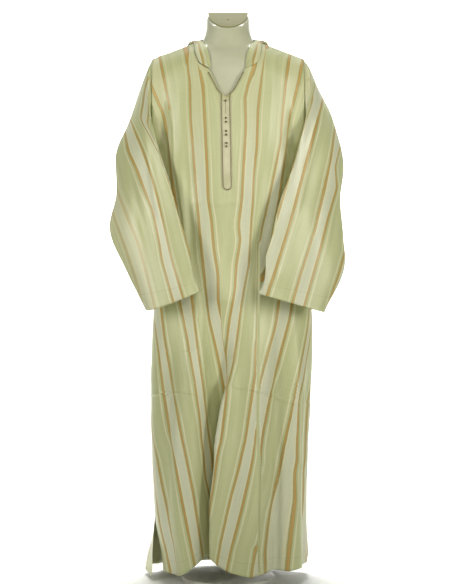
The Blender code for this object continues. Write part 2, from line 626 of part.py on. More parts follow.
def hood_lift(place):
    """From the neckline to just above the panel's outer side."""
    front = ease(place, 0.55, 0.85)
    rear = 1 - ease(place, 0.25, 0.5)
    lift = WALL + 2 * SEAM
    ahead = -lift * front + lift * rear
    return np.stack([-0.2 * lift * np.ones_like(place), ahead, lift * (1.3 - 0.9 * front)], -1)


def make_hood(made):
    round_neck = np.concatenate([np.linspace(-1, -0.5, 8)[:-1], np.linspace(-0.5, 0.5, 19),
                                 np.linspace(0.5, 1, 8)[1:]])
    up = np.concatenate([np.linspace(0, 0.16, 5), np.linspace(0.16, HOOD_TIP - 0.02, 4)[1:],
                         np.linspace(HOOD_TIP + 0.02, HOOD_TURN, 4), np.linspace(HOOD_TURN, 1, 7)[1:]])
    a, b = np.meshgrid(round_neck, up)
    outer = hood_surface(a, b)
    return wall("hood", outer, outer + WALL * inward(outer, -1), made)


def across(x, z, panel):
    """The place across a panel that lies x from its middle, leaving its folds out."""
    half, square = through(panel, z, 1), 2 / through(panel, z, 4)
    share = np.clip(np.abs(x) / half, 0, 1) ** (1 / square)
    return np.sign(x) * np.arcsin(share) * 2 / math.pi


def on_front(x, z, lift):
    """Points over the front panel, moved out by lift."""
    q = across(x, z, FRONT)

    def surface(a, b):
        return body(a, b, FRONT, -1)

    out = normals(surface, q, z)
    out *= np.where(out[..., 1:2] > 0, -1.0, 1.0)
    point = surface(q, z)
    point[..., 1] -= SEAM / 2
    return point + out * lift


def strip(name, x, z, lift, thickness, made):
    """A flat piece that lies on the front panel over a grid of places across and heights."""
    return wall(name, on_front(x, z, lift + thickness), on_front(x, z, lift), made)


def make_placket(made):
    end = PLACKET_END + PLACKET_HALF
    straight_part = np.linspace(PLACKET_TOP, end, 12)
    round_part = end - PLACKET_HALF * np.sin(np.linspace(0, math.pi / 2, 5)[1:] * 0.94)
    z = np.concatenate([straight_part, round_part])
    half = PLACKET_HALF * np.sqrt(1 - (np.clip(end - z, 0, 1) / PLACKET_HALF) ** 2)
    middle = straight(PLACKET_MIDDLE, z)
    share = np.linspace(-1, 1, 5)
    x = middle[:, None] + half[:, None] * share
    return strip("placket", x, np.repeat(z[:, None], 5, 1), TRIM_LIFT, TRIM_WALL, made)


def make_braid(name, sign, made):
    """The braid along one edge of the V-shaped opening."""
    z = np.linspace(BRAID_TOP, BRAID_END, 9)
    edge = np.interp(z, [row[1] for row in FRONT_NECK[:4]], [row[0] for row in FRONT_NECK[:4]])
    inner = edge + BRAID_INSET
    x = np.stack([inner, inner + BRAID_WIDTH / 2, inner + BRAID_WIDTH], 1) * sign + V_MIDDLE
    return strip(name, x, np.repeat(z[:, None], 3, 1), TRIM_LIFT, TRIM_WALL, made)


def make_knots(made):
    for number, height in enumerate(KNOT_HEIGHTS, 1):
        x = np.array([straight(PLACKET_MIDDLE, height)])
        lift = TRIM_LIFT + TRIM_WALL + SEAM + KNOT_RADIUS * KNOT_FLATNESS
        place = on_front(x, np.array([height]), lift)[0] + np.array([0, 0, LIFT])
        bpy.ops.mesh.primitive_uv_sphere_add(segments=8, ring_count=6, radius=KNOT_RADIUS, location=place)
        knot = bpy.context.object
        knot.name = f"knot_{number}"
        knot.data.transform(Matrix.Diagonal((1, KNOT_FLATNESS, 0.9, 1)))
        file_away(knot, made)


def file_away(piece, made):
    """Moves a piece to the collection and gives it its material."""
    for holder in list(piece.users_collection):
        holder.objects.unlink(piece)
    collection().objects.link(piece)
    piece.data.materials.clear()
    piece.data.materials.append(made)


def make_form(made):
    """The torso, a loft of closed rings that end in the shoulder line, joined to the neck."""
    columns = 22
    q = np.linspace(-1, 1, columns + 1)
    top_x = np.abs(body(q, np.full_like(q, YOKE), FORM_FRONT, 0)[:, 0])
    top_z = form_ridge(top_x)
    shares = 1 - np.cos(np.linspace(0, math.pi / 2, YOKE_ROWS + 1))
    heights = [top_z + (YOKE - top_z) * share for share in shares]
    heights += [np.full_like(q, z) for z in np.linspace(1.12, FORM[0][0], 7)]
    rings = []
    for z in heights:
        halves = [form_side(q, z, table, side) for table, side in ((FORM_FRONT, -1), (FORM_BACK, 1))]
        rings.append(np.concatenate([halves[0], halves[1][-2:0:-1]]))
    points = np.array(rings)
    rows, count = points.shape[:2]
    shell = bmesh.new()
    verts = [[shell.verts.new(p) for p in ring] for ring in points]
    for i in range(rows - 1):
        for j in range(count):
            k = (j + 1) % count
            shell.faces.new((verts[i][j], verts[i + 1][j], verts[i + 1][k], verts[i][k]))
    shell.faces.new(verts[-1])
    bmesh.ops.remove_doubles(shell, verts=shell.verts, dist=1e-5)
    bmesh.ops.recalc_face_normals(shell, faces=shell.faces)
    mesh = bpy.data.meshes.new("form")
    shell.to_mesh(mesh)
    shell.free()
    mesh.shade_smooth()
    mesh.set_sharp_from_angle(angle=math.radians(50))
    form = bpy.data.objects.new("form", mesh)
    form.location.z = LIFT
    file_away(form, made)
    joint = form.modifiers.new("neck", "BOOLEAN")
    joint.operation = "UNION"
    joint.object = make_neck()
    return form


def form_side(q, z, table, side):
    """One side of the form's torso, rounded off at the top as the robe's shoulders are."""
    square = 2 / table[0][4]
    angle = np.abs(q) * math.pi / 2
    x = np.sign(q) * through(table, z, 1) * np.sin(angle) ** square
    ridge = form_ridge(x)
    drop = np.clip((ridge - z) / SHOULDER_ROUND, 0, 1)
    y = side * through(table, z, 3) * np.sqrt(1 - (1 - drop) ** 2) * np.cos(angle) ** square
    return np.stack([x, y, z], -1)


def make_neck():
    """A guide for the form's neck: oval rings up to a slanted top."""
    sides, rows = 28, 10
    turn = np.linspace(0, 2 * math.pi, sides, endpoint=False)
    rim_y = NECK_RINGS[-1][2]
    top = np.full(sides, NECK_TOP)
    for _ in range(8):
        top = NECK_TOP - (rim_y - through(NECK_RINGS, top, 2) * np.sin(turn)) * math.tan(NECK_SLANT)
    shell = bmesh.new()
    verts = []
    for share in np.linspace(0, 1, rows):
        z = NECK_RINGS[0][0] + (top - NECK_RINGS[0][0]) * share
        x = through(NECK_RINGS, z, 1) * np.cos(turn)
        y = through(NECK_RINGS, z, 2) * np.sin(turn)
        verts.append([shell.verts.new(p) for p in zip(x, y, z)])
    for i in range(rows - 1):
        for j in range(sides):
            k = (j + 1) % sides
            shell.faces.new((verts[i][j], verts[i][k], verts[i + 1][k], verts[i + 1][j]))
    shell.faces.new(verts[0][::-1])
    shell.faces.new(verts[-1])
    bmesh.ops.recalc_face_normals(shell, faces=shell.faces)
    mesh = bpy.data.meshes.new("neck_guide")
    shell.to_mesh(mesh)
    shell.free()
    neck = bpy.data.objects.new("neck_guide", mesh)
    neck.location.z = LIFT
    guides = bpy.data.collections.get("Guides") or bpy.data.collections.new("Guides")
    if guides.name not in bpy.context.scene.collection.children:
        bpy.context.scene.collection.children.link(guides)
    guides.objects.link(neck)
    neck.hide_render = True
    neck.display_type = "WIRE"
    return neck


def make_cap(made):
    """The plate on the slanted neck: an oval with a straight back edge and one screw hole."""
    rim_x, rim_y = NECK_RINGS[-1][1] - CAP_MARGIN, NECK_RINGS[-1][2] / math.cos(NECK_SLANT) - CAP_MARGIN
    outline = bpy.data.curves.new("neck_cap", "CURVE")
    outline.dimensions = "2D"
    outline.fill_mode = "BOTH"
    outline.extrude = CAP_THICKNESS / 2
    edge = []
    for step in range(32):
        turn = 2 * math.pi * step / 32
        edge.append((rim_x * math.cos(turn), min(rim_y * math.sin(turn), CAP_BACK * rim_y)))
    hole = [(CAP_HOLE * math.cos(2 * math.pi * step / 10), CAP_HOLE * math.sin(2 * math.pi * step / 10))
            for step in range(10)]
    for ring in (edge, hole):
        spline = outline.splines.new("POLY")
        spline.points.add(len(ring) - 1)
        for point, (x, y) in zip(spline.points, ring):
            point.co = (x, y, 0, 1)
        spline.use_cyclic_u = True
    cap = bpy.data.objects.new("neck_cap", outline)
    middle = NECK_TOP - NECK_RINGS[-1][2] * math.tan(NECK_SLANT)
    lift = SEAM + CAP_THICKNESS / 2
    cap.location = (0, -lift * math.sin(NECK_SLANT), middle + lift * math.cos(NECK_SLANT) + LIFT)
    cap.rotation_euler = (NECK_SLANT, 0, 0)
    file_away(cap, made)


def make_stand(made):
    """The round base and the pole that carries the torso."""
    bpy.ops.mesh.primitive_cylinder_add(vertices=48, radius=BASE_RADIUS, depth=BASE_HEIGHT,
                                        location=(0, 0, BASE_HEIGHT / 2))
    base = bpy.context.object
    base.name = "base"
    rounded = base.modifiers.new("edge", "BEVEL")
    rounded.width = 0.0015
    rounded.segments = 1
    rounded.limit_method = "ANGLE"
    file_away(base, made)
    low, high = BASE_HEIGHT + SEAM, FORM[0][0] + LIFT - SEAM
    bpy.ops.mesh.primitive_cylinder_add(vertices=24, radius=POLE_RADIUS, depth=high - low,
                                        location=(0, 0, (low + high) / 2))
    pole = bpy.context.object
    pole.name = "pole"
    file_away(pole, made)


def build():
    clear_scene()
    satin = material("satin", (0.55, 0.56, 0.34), 0.45)
    braid = material("braid", (0.15, 0.09, 0.03), 0.7)
    plastic = material("plastic", (0.62, 0.62, 0.48), 0.2)
    steel = material("painted steel", (0.75, 0.75, 0.72), 0.35)
    make_panel("front", FRONT, -1, FRONT_NECK, FRONT_HEM, FRONT_COLUMNS, satin)
    make_panel("back", BACK, 1, BACK_NECK, BACK_HEM, BACK_COLUMNS, satin)
    make_sleeve("sleeve_left", LEFT_SLEEVE, -1, satin)
    make_sleeve("sleeve_right", RIGHT_SLEEVE, 1, satin)
    make_hood(satin)
    make_placket(satin)
    make_braid("braid_left", -1, braid)
    make_braid("braid_right", 1, braid)
    make_knots(braid)
    make_form(plastic)
    make_cap(plastic)
    make_stand(steel)


build()
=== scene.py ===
"""A striped djellaba robe on a dress form: its satin, its trim, the form and a plain studio.

Each operator makes one piece or one group of like pieces. The robe's cloth is drawn as surfaces of two
coordinates and folded: q runs across a panel from one side seam (-1) to the other (+1), and z
is the height. Tables of heights are over a level that lies LIFT above the floor. Metres throughout.
"""

import math

import bpy
import numpy as np
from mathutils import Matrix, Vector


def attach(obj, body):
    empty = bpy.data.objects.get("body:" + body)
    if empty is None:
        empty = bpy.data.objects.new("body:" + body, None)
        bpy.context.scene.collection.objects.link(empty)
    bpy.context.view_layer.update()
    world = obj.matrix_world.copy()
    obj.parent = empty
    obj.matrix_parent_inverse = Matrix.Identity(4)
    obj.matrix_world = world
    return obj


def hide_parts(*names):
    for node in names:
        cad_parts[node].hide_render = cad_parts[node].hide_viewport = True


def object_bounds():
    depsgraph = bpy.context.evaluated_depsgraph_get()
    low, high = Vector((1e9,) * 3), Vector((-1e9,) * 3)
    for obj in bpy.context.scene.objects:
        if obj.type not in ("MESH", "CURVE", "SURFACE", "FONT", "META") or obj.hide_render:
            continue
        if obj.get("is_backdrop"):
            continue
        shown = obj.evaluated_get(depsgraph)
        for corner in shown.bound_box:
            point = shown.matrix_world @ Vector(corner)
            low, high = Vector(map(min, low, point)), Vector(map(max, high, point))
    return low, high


bl_info = {
    "name": "Striped Djellaba Robe",
    "version": (1, 0, 0),
    "blender": (4, 5, 0),
    "location": "View3D > Sidebar > Robe",
    "description": "Makes a striped satin robe with a hood, worn by a limbless dress form",
    "category": "Object",
}

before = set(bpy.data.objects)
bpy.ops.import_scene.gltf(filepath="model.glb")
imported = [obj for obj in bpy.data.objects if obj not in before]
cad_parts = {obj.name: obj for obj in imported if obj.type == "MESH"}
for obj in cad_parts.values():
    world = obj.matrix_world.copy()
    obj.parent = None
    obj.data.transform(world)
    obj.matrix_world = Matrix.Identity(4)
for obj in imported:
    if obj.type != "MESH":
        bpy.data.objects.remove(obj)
CAD_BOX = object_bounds()

# ---------------------------------------------------------------- the robe's form

LIFT = -0.012          # the tables' level over the floor
SEAM = 0.0003          # gap between two pieces that are sewn together
WALL = 0.0015          # thickness of the solids that stand for the cloth
CLOTH = 0.0010         # thickness of the satin as it is drawn
HEM = 0.030            # hem of the front
HEM_RISE = 0.20        # height over which the hem's rise fades out
EVEN_BELOW = 0.850     # below this a panel's columns are evenly spaced
UNDERARM = 1.100       # lowest point of the armhole
NECK_TOP = 1.4636      # back edge of the form's slanted neck
YOKE = 1.195           # above this the rows of a panel follow its shoulder line
# Shoulder and armhole
ARM_X = 0.192          # distance of both armholes from the middle
ARM_DEPTH = 0.072      # half the armhole's depth from front to back
SHOULDER_ROUND = 0.085  # height over which the cloth rounds off from the shoulder line to the chest
NECK_X = 0.088         # half width of the neckline at the shoulder line

# The line along the top of the shoulder: distance from the middle, height
RIDGE = ((0.000, 1.388), (0.050, 1.384), (0.088, 1.372), (0.192, 1.333))

# The neckline of the front: distance from the middle, height
FRONT_NECK = ((0.000, 1.222), (0.0175, 1.240), (0.043, 1.290), (0.052, 1.298), (0.072, 1.309),
              (0.083, 1.338), (0.088, 1.3722))
# The neckline of the back
BACK_NECK = ((0.000, 1.352), (0.050, 1.356), (0.080, 1.368), (0.088, 1.3722))


# Sections of the panels: height, half width left and right, and depth of the front and the back
SECTIONS = (
    (0.300, 0.1930, 0.2030, 0.136, 0.132),
    (0.470, 0.1970, 0.2110, 0.131, 0.126),
    (0.600, 0.1950, 0.2160, 0.127, 0.120),
    (0.700, 0.1890, 0.2130, 0.122, 0.116),
    (0.850, 0.1840, 0.1860, 0.116, 0.106),
    (1.000, 0.1860, 0.1860, 0.116, 0.106),
    (1.100, 0.1915, 0.1915, 0.117, 0.116),
    (1.200, 0.1920, 0.1920, 0.112, 0.120),
    (1.300, 0.1920, 0.1920, 0.098, 0.110),
    (1.400, 0.1920, 0.1920, 0.094, 0.100),
)
# The lowest sections, by the slit, have their own widths. The last column is their squareness
FRONT = ((0.000, 0.1620, 0.2010, 0.142, 2.5), (0.060, 0.1670, 0.2010, 0.141, 2.5),
         (0.170, 0.1860, 0.2010, 0.139, 2.5), *((*row[:4], 2.5) for row in SECTIONS))
BACK = ((0.000, 0.2260, 0.2070, 0.150, 2.4), (0.060, 0.2180, 0.2050, 0.146, 2.4),
        (0.170, 0.1868, 0.2010, 0.138, 2.4), *((*row[:3], row[4], 2.4) for row in SECTIONS))

# The deep pleat down the middle of the front: height, place across, depth, half width on its left,
# sideways lean, and half width on its right, where the flap's edge is
PLEAT = (
    (0.000, -0.185, 0.086, 0.0620, 0.55, 0.0220),
    (0.095, -0.170, 0.084, 0.0620, 0.55, 0.0220),
    (0.161, -0.158, 0.082, 0.0620, 0.55, 0.0220),
    (0.242, -0.146, 0.080, 0.0620, 0.52, 0.0220),
    (0.328, -0.116, 0.074, 0.0640, 0.50, 0.0220),
    (0.404, -0.108, 0.062, 0.0660, 0.46, 0.0220),
    (0.468, -0.070, 0.054, 0.0700, 0.42, 0.0240),
    (0.515, -0.036, 0.044, 0.0780, 0.38, 0.0270),
    (0.560, -0.028, 0.032, 0.0860, 0.35, 0.0320),
    (0.640, -0.030, 0.013, 0.0950, 0.30, 0.0450),
    (0.720, -0.030, 0.000, 0.0900, 0.30, 0.0800),
)
# Soft folds of the front: place across at the bottom and the top, lowest and highest point,
# depth (inwards is positive) and half width
FRONT_FOLDS = (
    (-0.62, -0.50, 0.00, 0.66, 0.013, 0.110),
    (-0.42, -0.30, 0.00, 0.62, -0.007, 0.120),
    (0.10, 0.16, 0.00, 0.70, -0.010, 0.150),
    (0.38, 0.36, 0.00, 0.74, 0.020, 0.100),
    (0.62, 0.60, 0.00, 0.66, -0.009, 0.130),
    (0.80, 0.74, 0.00, 0.60, 0.012, 0.090),
    (-0.60, -0.66, 0.84, 1.26, 0.015, 0.090),
    (0.58, 0.62, 0.84, 1.24, 0.013, 0.090),
    (-0.28, -0.34, 0.78, 1.14, 0.006, 0.120),
    (0.26, 0.32, 0.76, 1.12, 0.006, 0.120),
)
# Soft folds of the back, with the same columns
BACK_FOLDS = (
    (-0.66, -0.58, 0.00, 0.74, 0.018, 0.110),
    (-0.36, -0.34, 0.00, 0.92, 0.026, 0.110),
    (-0.05, 0.00, 0.00, 1.00, -0.012, 0.140),
    (0.24, 0.22, 0.00, 0.90, 0.028, 0.110),
    (0.56, 0.50, 0.00, 0.80, 0.020, 0.110),
    (0.80, 0.74, 0.00, 0.62, -0.008, 0.100),
)
# How far the hem rises, by the distance from the middle
FRONT_HEM = ((-0.175, 0.016), (-0.163, 0.009), (-0.129, 0.0045), (-0.105, 0.016), (-0.083, 0.032),
             (-0.060, 0.046), (-0.0433, 0.055), (-0.0303, 0.042), (-0.012, 0.030), (0.002, 0.0226),
             (0.030, 0.015), (0.055, 0.010), (0.088, 0.0177), (0.114, 0.0226), (0.150, 0.0177),
             (0.196, 0.026))
BACK_HEM = ((-0.226, -0.008), (-0.200, 0.004), (-0.130, -0.002), (0.0, -0.004), (0.1, 0.008),
            (0.200, 0.028))

# Sections of the sleeves: the points furthest out, forward, in and back (x is the distance from the
# middle), from the armhole to the cuff
ARMHOLE = ((0.1923, 0.000, 1.3330), (0.1923, -0.072, 1.2165), (0.1923, 0.000, 1.1000),
           (0.1923, 0.072, 1.2165))
LEFT_SLEEVE = (
    ARMHOLE,
    ((0.2085, 0.000, 1.3000), (0.1970, -0.080, 1.2000), (0.2060, 0.000, 1.0880), (0.2080, 0.076, 1.2000)),
    ((0.2260, -0.003, 1.2500), (0.1920, -0.092, 1.1650), (0.2120, -0.010, 1.0650), (0.2220, 0.062, 1.1650)),
    ((0.2450, -0.012, 1.1700), (0.1720, -0.110, 1.0950), (0.2070, -0.030, 1.0300), (0.2340, 0.040, 1.1100)),
    ((0.2735, -0.030, 1.0850), (0.1520, -0.122, 1.0300), (0.1940, -0.055, 0.9850), (0.2340, 0.015, 1.0450)),
    ((0.2685, -0.050, 0.9900), (0.1390, -0.133, 0.9650), (0.1720, -0.085, 0.9300), (0.2240, -0.015, 0.9600)),
    ((0.2840, -0.070, 0.8980), (0.1220, -0.145, 0.8800), (0.1480, -0.112, 0.8650), (0.2120, -0.050, 0.8800)),
    ((0.2490, -0.100, 0.8050), (0.1120, -0.158, 0.8150), (0.1170, -0.138, 0.8050), (0.1800, -0.092, 0.8000)),
    ((0.2010, -0.140, 0.6940), (0.1300, -0.176, 0.7150), (0.0690, -0.158, 0.7450), (0.1480, -0.130, 0.7220)),
)
RIGHT_SLEEVE = (
    ARMHOLE,
    ((0.2110, 0.000, 1.3000), (0.2020, -0.080, 1.2050), (0.2060, 0.000, 1.0880), (0.2080, 0.076, 1.2000)),
    ((0.2340, -0.003, 1.2500), (0.1930, -0.092, 1.1650), (0.2120, -0.010, 1.0650), (0.2250, 0.062, 1.1650)),
    ((0.2620, -0.012, 1.1700), (0.1720, -0.110, 1.0950), (0.2080, -0.030, 1.0300), (0.2390, 0.040, 1.1100)),
    ((0.2820, -0.030, 1.0600), (0.1560, -0.122, 1.0300), (0.1960, -0.055, 0.9850), (0.2400, 0.015, 1.0400)),
    ((0.2680, -0.050, 0.9700), (0.1360, -0.133, 0.9650), (0.1720, -0.085, 0.9300), (0.2280, -0.015, 0.9600)),
    ((0.2765, -0.070, 0.8800), (0.1240, -0.145, 0.8850), (0.1500, -0.112, 0.8650), (0.2150, -0.050, 0.8800)),
    ((0.2780, -0.095, 0.7950), (0.1190, -0.158, 0.8150), (0.1200, -0.138, 0.8050), (0.1950, -0.088, 0.8000)),
    ((0.2380, -0.135, 0.6900), (0.1550, -0.174, 0.7120), (0.0740, -0.158, 0.7370), (0.1640, -0.128, 0.7150)),
)

# Where the flat sleeves' two sharp edges are: place along the sleeve, turn of the outer edge and of
# the front edge, in degrees from its outermost point by way of the front
SLEEVE_EDGES = (
    (0.0000, 333, 111),
    (0.5600, 334, 112),
    (0.7500, 340, 122),
    (0.8750, 342, 127),
    (0.9375, 343, 143),
    (1.0000, 345, 167),
)
SLEEVE_SETTLED = 0.12  # from here on along the sleeves their stripes are placed, and held above it
SLEEVE_EDGE = 0.62     # how blunt the sleeves' edges are: 1 is an oval, and less is blunter

# The hood, from the front end (1) round the shoulder (0.5) to the back (0) of the neck:
# place round the neck, then the height and the reach of its open edge from the middle
HOOD_EDGE = (
    (0.00, 0.000, 0.066, 1.412),
    (0.15, 0.036, 0.060, 1.410),
    (0.35, 0.062, 0.032, 1.391),
    (0.50, 0.0675, -0.002, 1.382),
    (0.65, 0.0600, -0.036, 1.368),
    (0.82, 0.0475, -0.070, 1.332),
    (1.00, 0.0430, -0.097, 1.294),
)
# The lowest line of the hood's hanging part, round the neck from the back (0) to the shoulder (0.5):
# distance from the middle, and how far it falls below the shoulder line
HOOD_FALL = (
    (0.00, 0.000, 3.35),
    (0.10, 0.034, 2.90),
    (0.20, 0.062, 2.25),
    (0.30, 0.084, 1.50),
    (0.40, 0.106, 0.60),
    (0.50, 0.104, 0.05),
)
HOOD_UNIT = 0.100      # height of one step of that fall below the rounded shoulder
HOOD_REACH = 0.026     # how far the hood's outer layer swells off the inner one
HOOD_FOLD = 0.008      # how far apart the two layers are at the fold
HOOD_STAND = 0.005     # how far the band round the neck bulges outwards
HOOD_TIP = 0.45        # where the fold is, from the seam (0) to the open edge (1)
HOOD_CLEAR = 0.0022    # between the hood and the form
HOOD_GAP = 0.0080      # between the hood and the back that it lies on
HOOD_SEAM_GAP = 0.0012  # the same at the seam
HOOD_STRIPE = 0.022    # from the hood's open edge to its first gold stripe

# The dress form: height, half width, depth in front and behind
FORM = (
    (0.720, 0.1500, 0.098, 0.092),
    (0.800, 0.1560, 0.102, 0.096),
    (0.950, 0.1420, 0.094, 0.086),
    (1.100, 0.1620, 0.108, 0.100),
    (1.200, 0.1750, 0.106, 0.110),
    (1.300, 0.1770, 0.0905, 0.1030),
    (1.400, 0.1770, 0.0865, 0.0930),
)
FORM_SQUARE = 2.4      # squareness of its sections
FORM_GAP = 0.0015      # between the cloth's inside and the form at the shoulders
FORM_NECK_DROP = 0.004  # how much lower its shoulder line is beside the neck
NECK_RINGS = ((1.300, 0.070, 0.064), (1.355, 0.070, 0.064), (1.374, 0.068, 0.062), (1.392, 0.061, 0.057),
              (1.415, 0.0560, 0.0535), (1.440, 0.0535, 0.0520), (NECK_TOP, 0.0525, 0.0515))
NECK_SLANT = math.radians(29)
# How much wider the neck is than its rings, by height
NECK_SPREAD = ((1.375, 1.0), (1.392, 1.08), (1.403, 1.12), (1.415, 1.115), (1.430, 1.085),
               (1.450, 1.045), (1.4636, 1.02))
NECK_CUT = 0.0030      # the neck is cut this far below its slanted top, where the plate lies
PLATE = 0.0028         # thickness of the plate
# Placket, braid and knots, on the front panel
OPENING_ROWS = 140     # points along the opening and the placket's straight sides
SEAM_BEAD = (0.0010, 0.0008, 0.0036)   # width, height and length of a stitch of each kind
BRAID_BEAD = (0.0034, 0.0022, 0.0041)
CREAM_BEAD = (0.0018, 0.0012, 0.0026)
SLIT_BEAD = (0.0012, 0.0008, 0.0030)
SEAM_STEP = 0.0075     # from one seam stitch to the next
V_MIDDLE = -0.0056     # the opening's point is a little to the wearer's right
PLACKET_MIDDLE = ((0.990, -0.0020), (1.216, -0.0065))  # height, place across
PLACKET_HALF = 0.0125
BRAID_TOP = 1.286
PLACKET_TOP = 1.216
PLACKET_END = 0.990
TRIM_WALL = 0.0010     # thickness of the braid and the placket
TRIM_LIFT = 0.0007     # from the panel to the trim that lies on it
KNOT_FLATNESS = 0.8
KNOT_RADIUS = 0.0032
KNOT_HEIGHTS = (1.2120, 1.1690, 1.1590, 1.1365, 1.1275, 1.1065, 1.0985)
NECK_SHARE = 0.6       # share of a panel's columns that start at its neckline

# ---------------------------------------------------------------- the front elevation

# Stripes, seams and creases are placed on a front elevation of the robe, drawn as the eye sees it: columns
# to the right and rows down, each STEP wide. The eye is level and looks along +Y.
STEP = 0.00255
EYE = (-0.0051, -3.6, 0.7275)
MIDDLE_COLUMN = 226.0
MIDDLE_ROW = 292.0


def elevation(points):
    """Columns and rows of points on the front elevation."""
    near = (points[..., 1] - EYE[1]) / -EYE[1]
    column = MIDDLE_COLUMN + (points[..., 0] - EYE[0]) / near / STEP
    row = MIDDLE_ROW - (points[..., 2] + LIFT - EYE[2]) / near / STEP
    return column, row


# The stripes: gold lines stand this far (mm) from the middle of the front, or from the middle of a
# sleeve's white band, and each runs down the elevation through rows and columns
PERIOD = 0.102         # from one white band to the next
BAND = 0.0345          # width of the white band
FIRST = 0.050          # from the middle of the front to the first white band
RIGHT_STRIPES = (
    (50, ((40, 259), (67, 253.5), (84, 248), (98, 245), (126, 246), (161, 244), (199, 242), (226, 238.5),
          (240, 240.7), (264, 236.4), (291, 235), (324, 229), (343, 227), (360, 224), (383, 217), (404, 214),
          (440, 206), (500, 196), (571, 190))),
    (85, ((40, 271), (53, 265), (84, 261), (112, 258), (147, 257), (175, 254), (204, 253), (239, 250.6),
          (264, 249.5), (290, 244), (309, 241), (333, 238), (364.6, 233.4), (383.8, 227.7), (404.8, 225.8),
          (440, 221.5), (458, 217.2), (482, 214.3), (505.8, 210.5), (520, 209), (545, 204), (571, 200))),
    (153, ((40, 294), (53, 290.7), (84, 286), (126, 282), (140, 281.5), (168, 276), (204, 268),
           (226, 262.5), (240, 260), (336, 257.6), (347, 255.9), (376, 255.4), (395, 252.5), (440, 245.9),
           (472, 238.2), (496, 231.5), (520, 225.8), (542, 221), (564, 217.2))),
    (187, ((40, 306), (59, 303), (84, 298), (119, 289), (147, 286), (200, 279), (240, 272), (300, 264),
           (397, 258.4), (424, 256.4), (440, 255.4), (456, 253.5), (480, 248.7), (505.8, 243),
           (526.8, 237.3), (548.8, 231.5), (570.8, 226.8))),
    (255, ((180, 301), (240, 290), (301.5, 279.3), (328, 275.5), (357, 266.9), (381, 260.2), (397, 257.8),
           (515, 259.2), (529.7, 258.3), (563, 253.5), (576.6, 251.6))),
    (288, ((240, 303), (305, 291.6), (317, 290), (336, 285), (357, 279.6), (380, 274), (398, 270),
           (434, 262.6), (453, 260.6), (463, 260), (571, 258))),
    (357, ((340, 306), (374, 299.4), (402, 294.6), (440, 286), (459, 282), (477, 278.3), (499, 272.6),
           (525, 267.8), (549, 265), (571, 265.4))),
    (391, ((380, 303), (400, 298.4), (440, 297.5), (461, 297.5), (472, 295), (501, 296), (525, 293),
           (572.6, 288))),
)
LEFT_STRIPES = (
    (50, ((40, 191), (67, 199), (84, 203), (126, 205), (168, 207), (200, 208), (220, 211.4), (248, 213.6),
          (275, 218), (302, 218), (323.5, 222.9), (333, 224.8), (360, 231), (400, 240), (571, 245))),
    (85, ((40, 182), (56, 186), (84, 189.6), (119, 190), (154, 193), (199, 196.6), (219, 198.4),
          (254, 201.7), (288, 205), (318.7, 208.6), (342.6, 214.3), (369.4, 220), (387.6, 223.4),
          (440, 232), (571, 240))),
    (153, ((40, 156), (56, 159), (81, 164), (107, 169), (125, 171), (160, 173), (217, 184), (294, 191),
           (351, 197.6), (387, 202.7), (440, 209), (457, 211.7), (571, 220))),
    (187, ((40, 143), (87, 152), (115, 164), (140, 168), (175, 171), (199, 175), (217, 177), (300, 179),
           (338, 187), (383, 195), (421, 200), (440, 201.6), (462.7, 203.8), (477, 205), (493, 209))),
    (255, ((240, 152), (308, 161), (338, 164), (394, 173.4), (440, 182.2), (494, 193), (560, 203))),
    (288, ((260, 147), (316, 153.6), (351, 158.7), (394, 163.8), (440, 170.8), (500, 182),
           (568.6, 195.6))),
)
# Where cloth is hidden in a sharp fold: row, column, and the marks on its left and right side
RIGHT_FOLD = ((235, 259.5, 155, 155), (300, 258.6, 150, 200), (336, 258.2, 153, 216), (372, 258, 158, 240),
              (387, 258, 162, 254), (397, 257.9, 166, 262), (430, 258, 190, 277), (440, 258.3, 196, 281),
              (452, 259, 203, 287), (463, 259.8, 210, 291), (505, 259.5, 230, 330), (525, 259.4, 246, 336),
              (535, 259.3, 256, 340), (545, 259.2, 262, 345), (571, 259.2, 275, 335))
LEFT_FOLD = ((107, 168.5, 157, 151.5), (127, 171.5, 168, 149), (160, 173, 178, 137), (217, 182, 180, 125),
             (260, 186, 175, 122), (294, 194, 152, 140), (330, 198, 142, 142))

# The sleeves' stripes, with 0 the middle of a white band
LEFT_SLEEVE_STRIPES = (
    (85, ((60, 152), (88, 145.5), (120, 154), (146, 159), (173, 166), (196, 173.5), (240, 186),
          (289, 200))),
    (17, ((60, 135), (90, 129), (119, 130), (150, 143), (174, 151), (200, 158), (231, 165), (254, 170),
          (295, 182))),
    (-17, ((60, 128), (110, 121), (150, 128), (169.5, 137), (191, 145), (211, 153), (242, 159.4),
           (261, 162), (298.5, 172.4))),
    (-85, ((150, 108), (191, 117), (219, 128), (243, 138), (268, 145), (307, 155))),
    (-119, ((180, 104), (218, 114.4), (250, 126), (275, 134.5), (307, 144))),
)
RIGHT_SLEEVE_STRIPES = (
    (-17, ((60, 318), (90, 314), (140, 298), (150, 297), (182.5, 287.5), (219, 276.6), (253, 266),
           (283, 258.7), (300, 254))),
    (17, ((60, 328), (104, 322), (150, 310), (188, 299.4), (222, 290.7), (264, 277.7), (294, 268))),
    (85, ((80, 345), (129, 335), (160, 331), (195.5, 323), (228, 315.7), (275, 300.5), (302, 293))),
    (119, ((120, 346), (147, 340), (166, 335), (188, 337), (219, 327.6), (254, 319), (304, 305))),
    (187, ((220, 352), (251, 345.5), (272.5, 339.5), (294, 332))),
)

# How finely the cloth is drawn
FRONT_SIZE = (170, 270)        # columns, rows
BACK_SIZE = (130, 250)
SLEEVE_SIZE = (176, 180)
HOOD_SIZE = (150, 130)
YOKE_SHARE = 0.24              # share of a panel's rows above the yoke
FINE = 900                     # points along a row while it is measured

# ---------------------------------------------------------------- surfaces

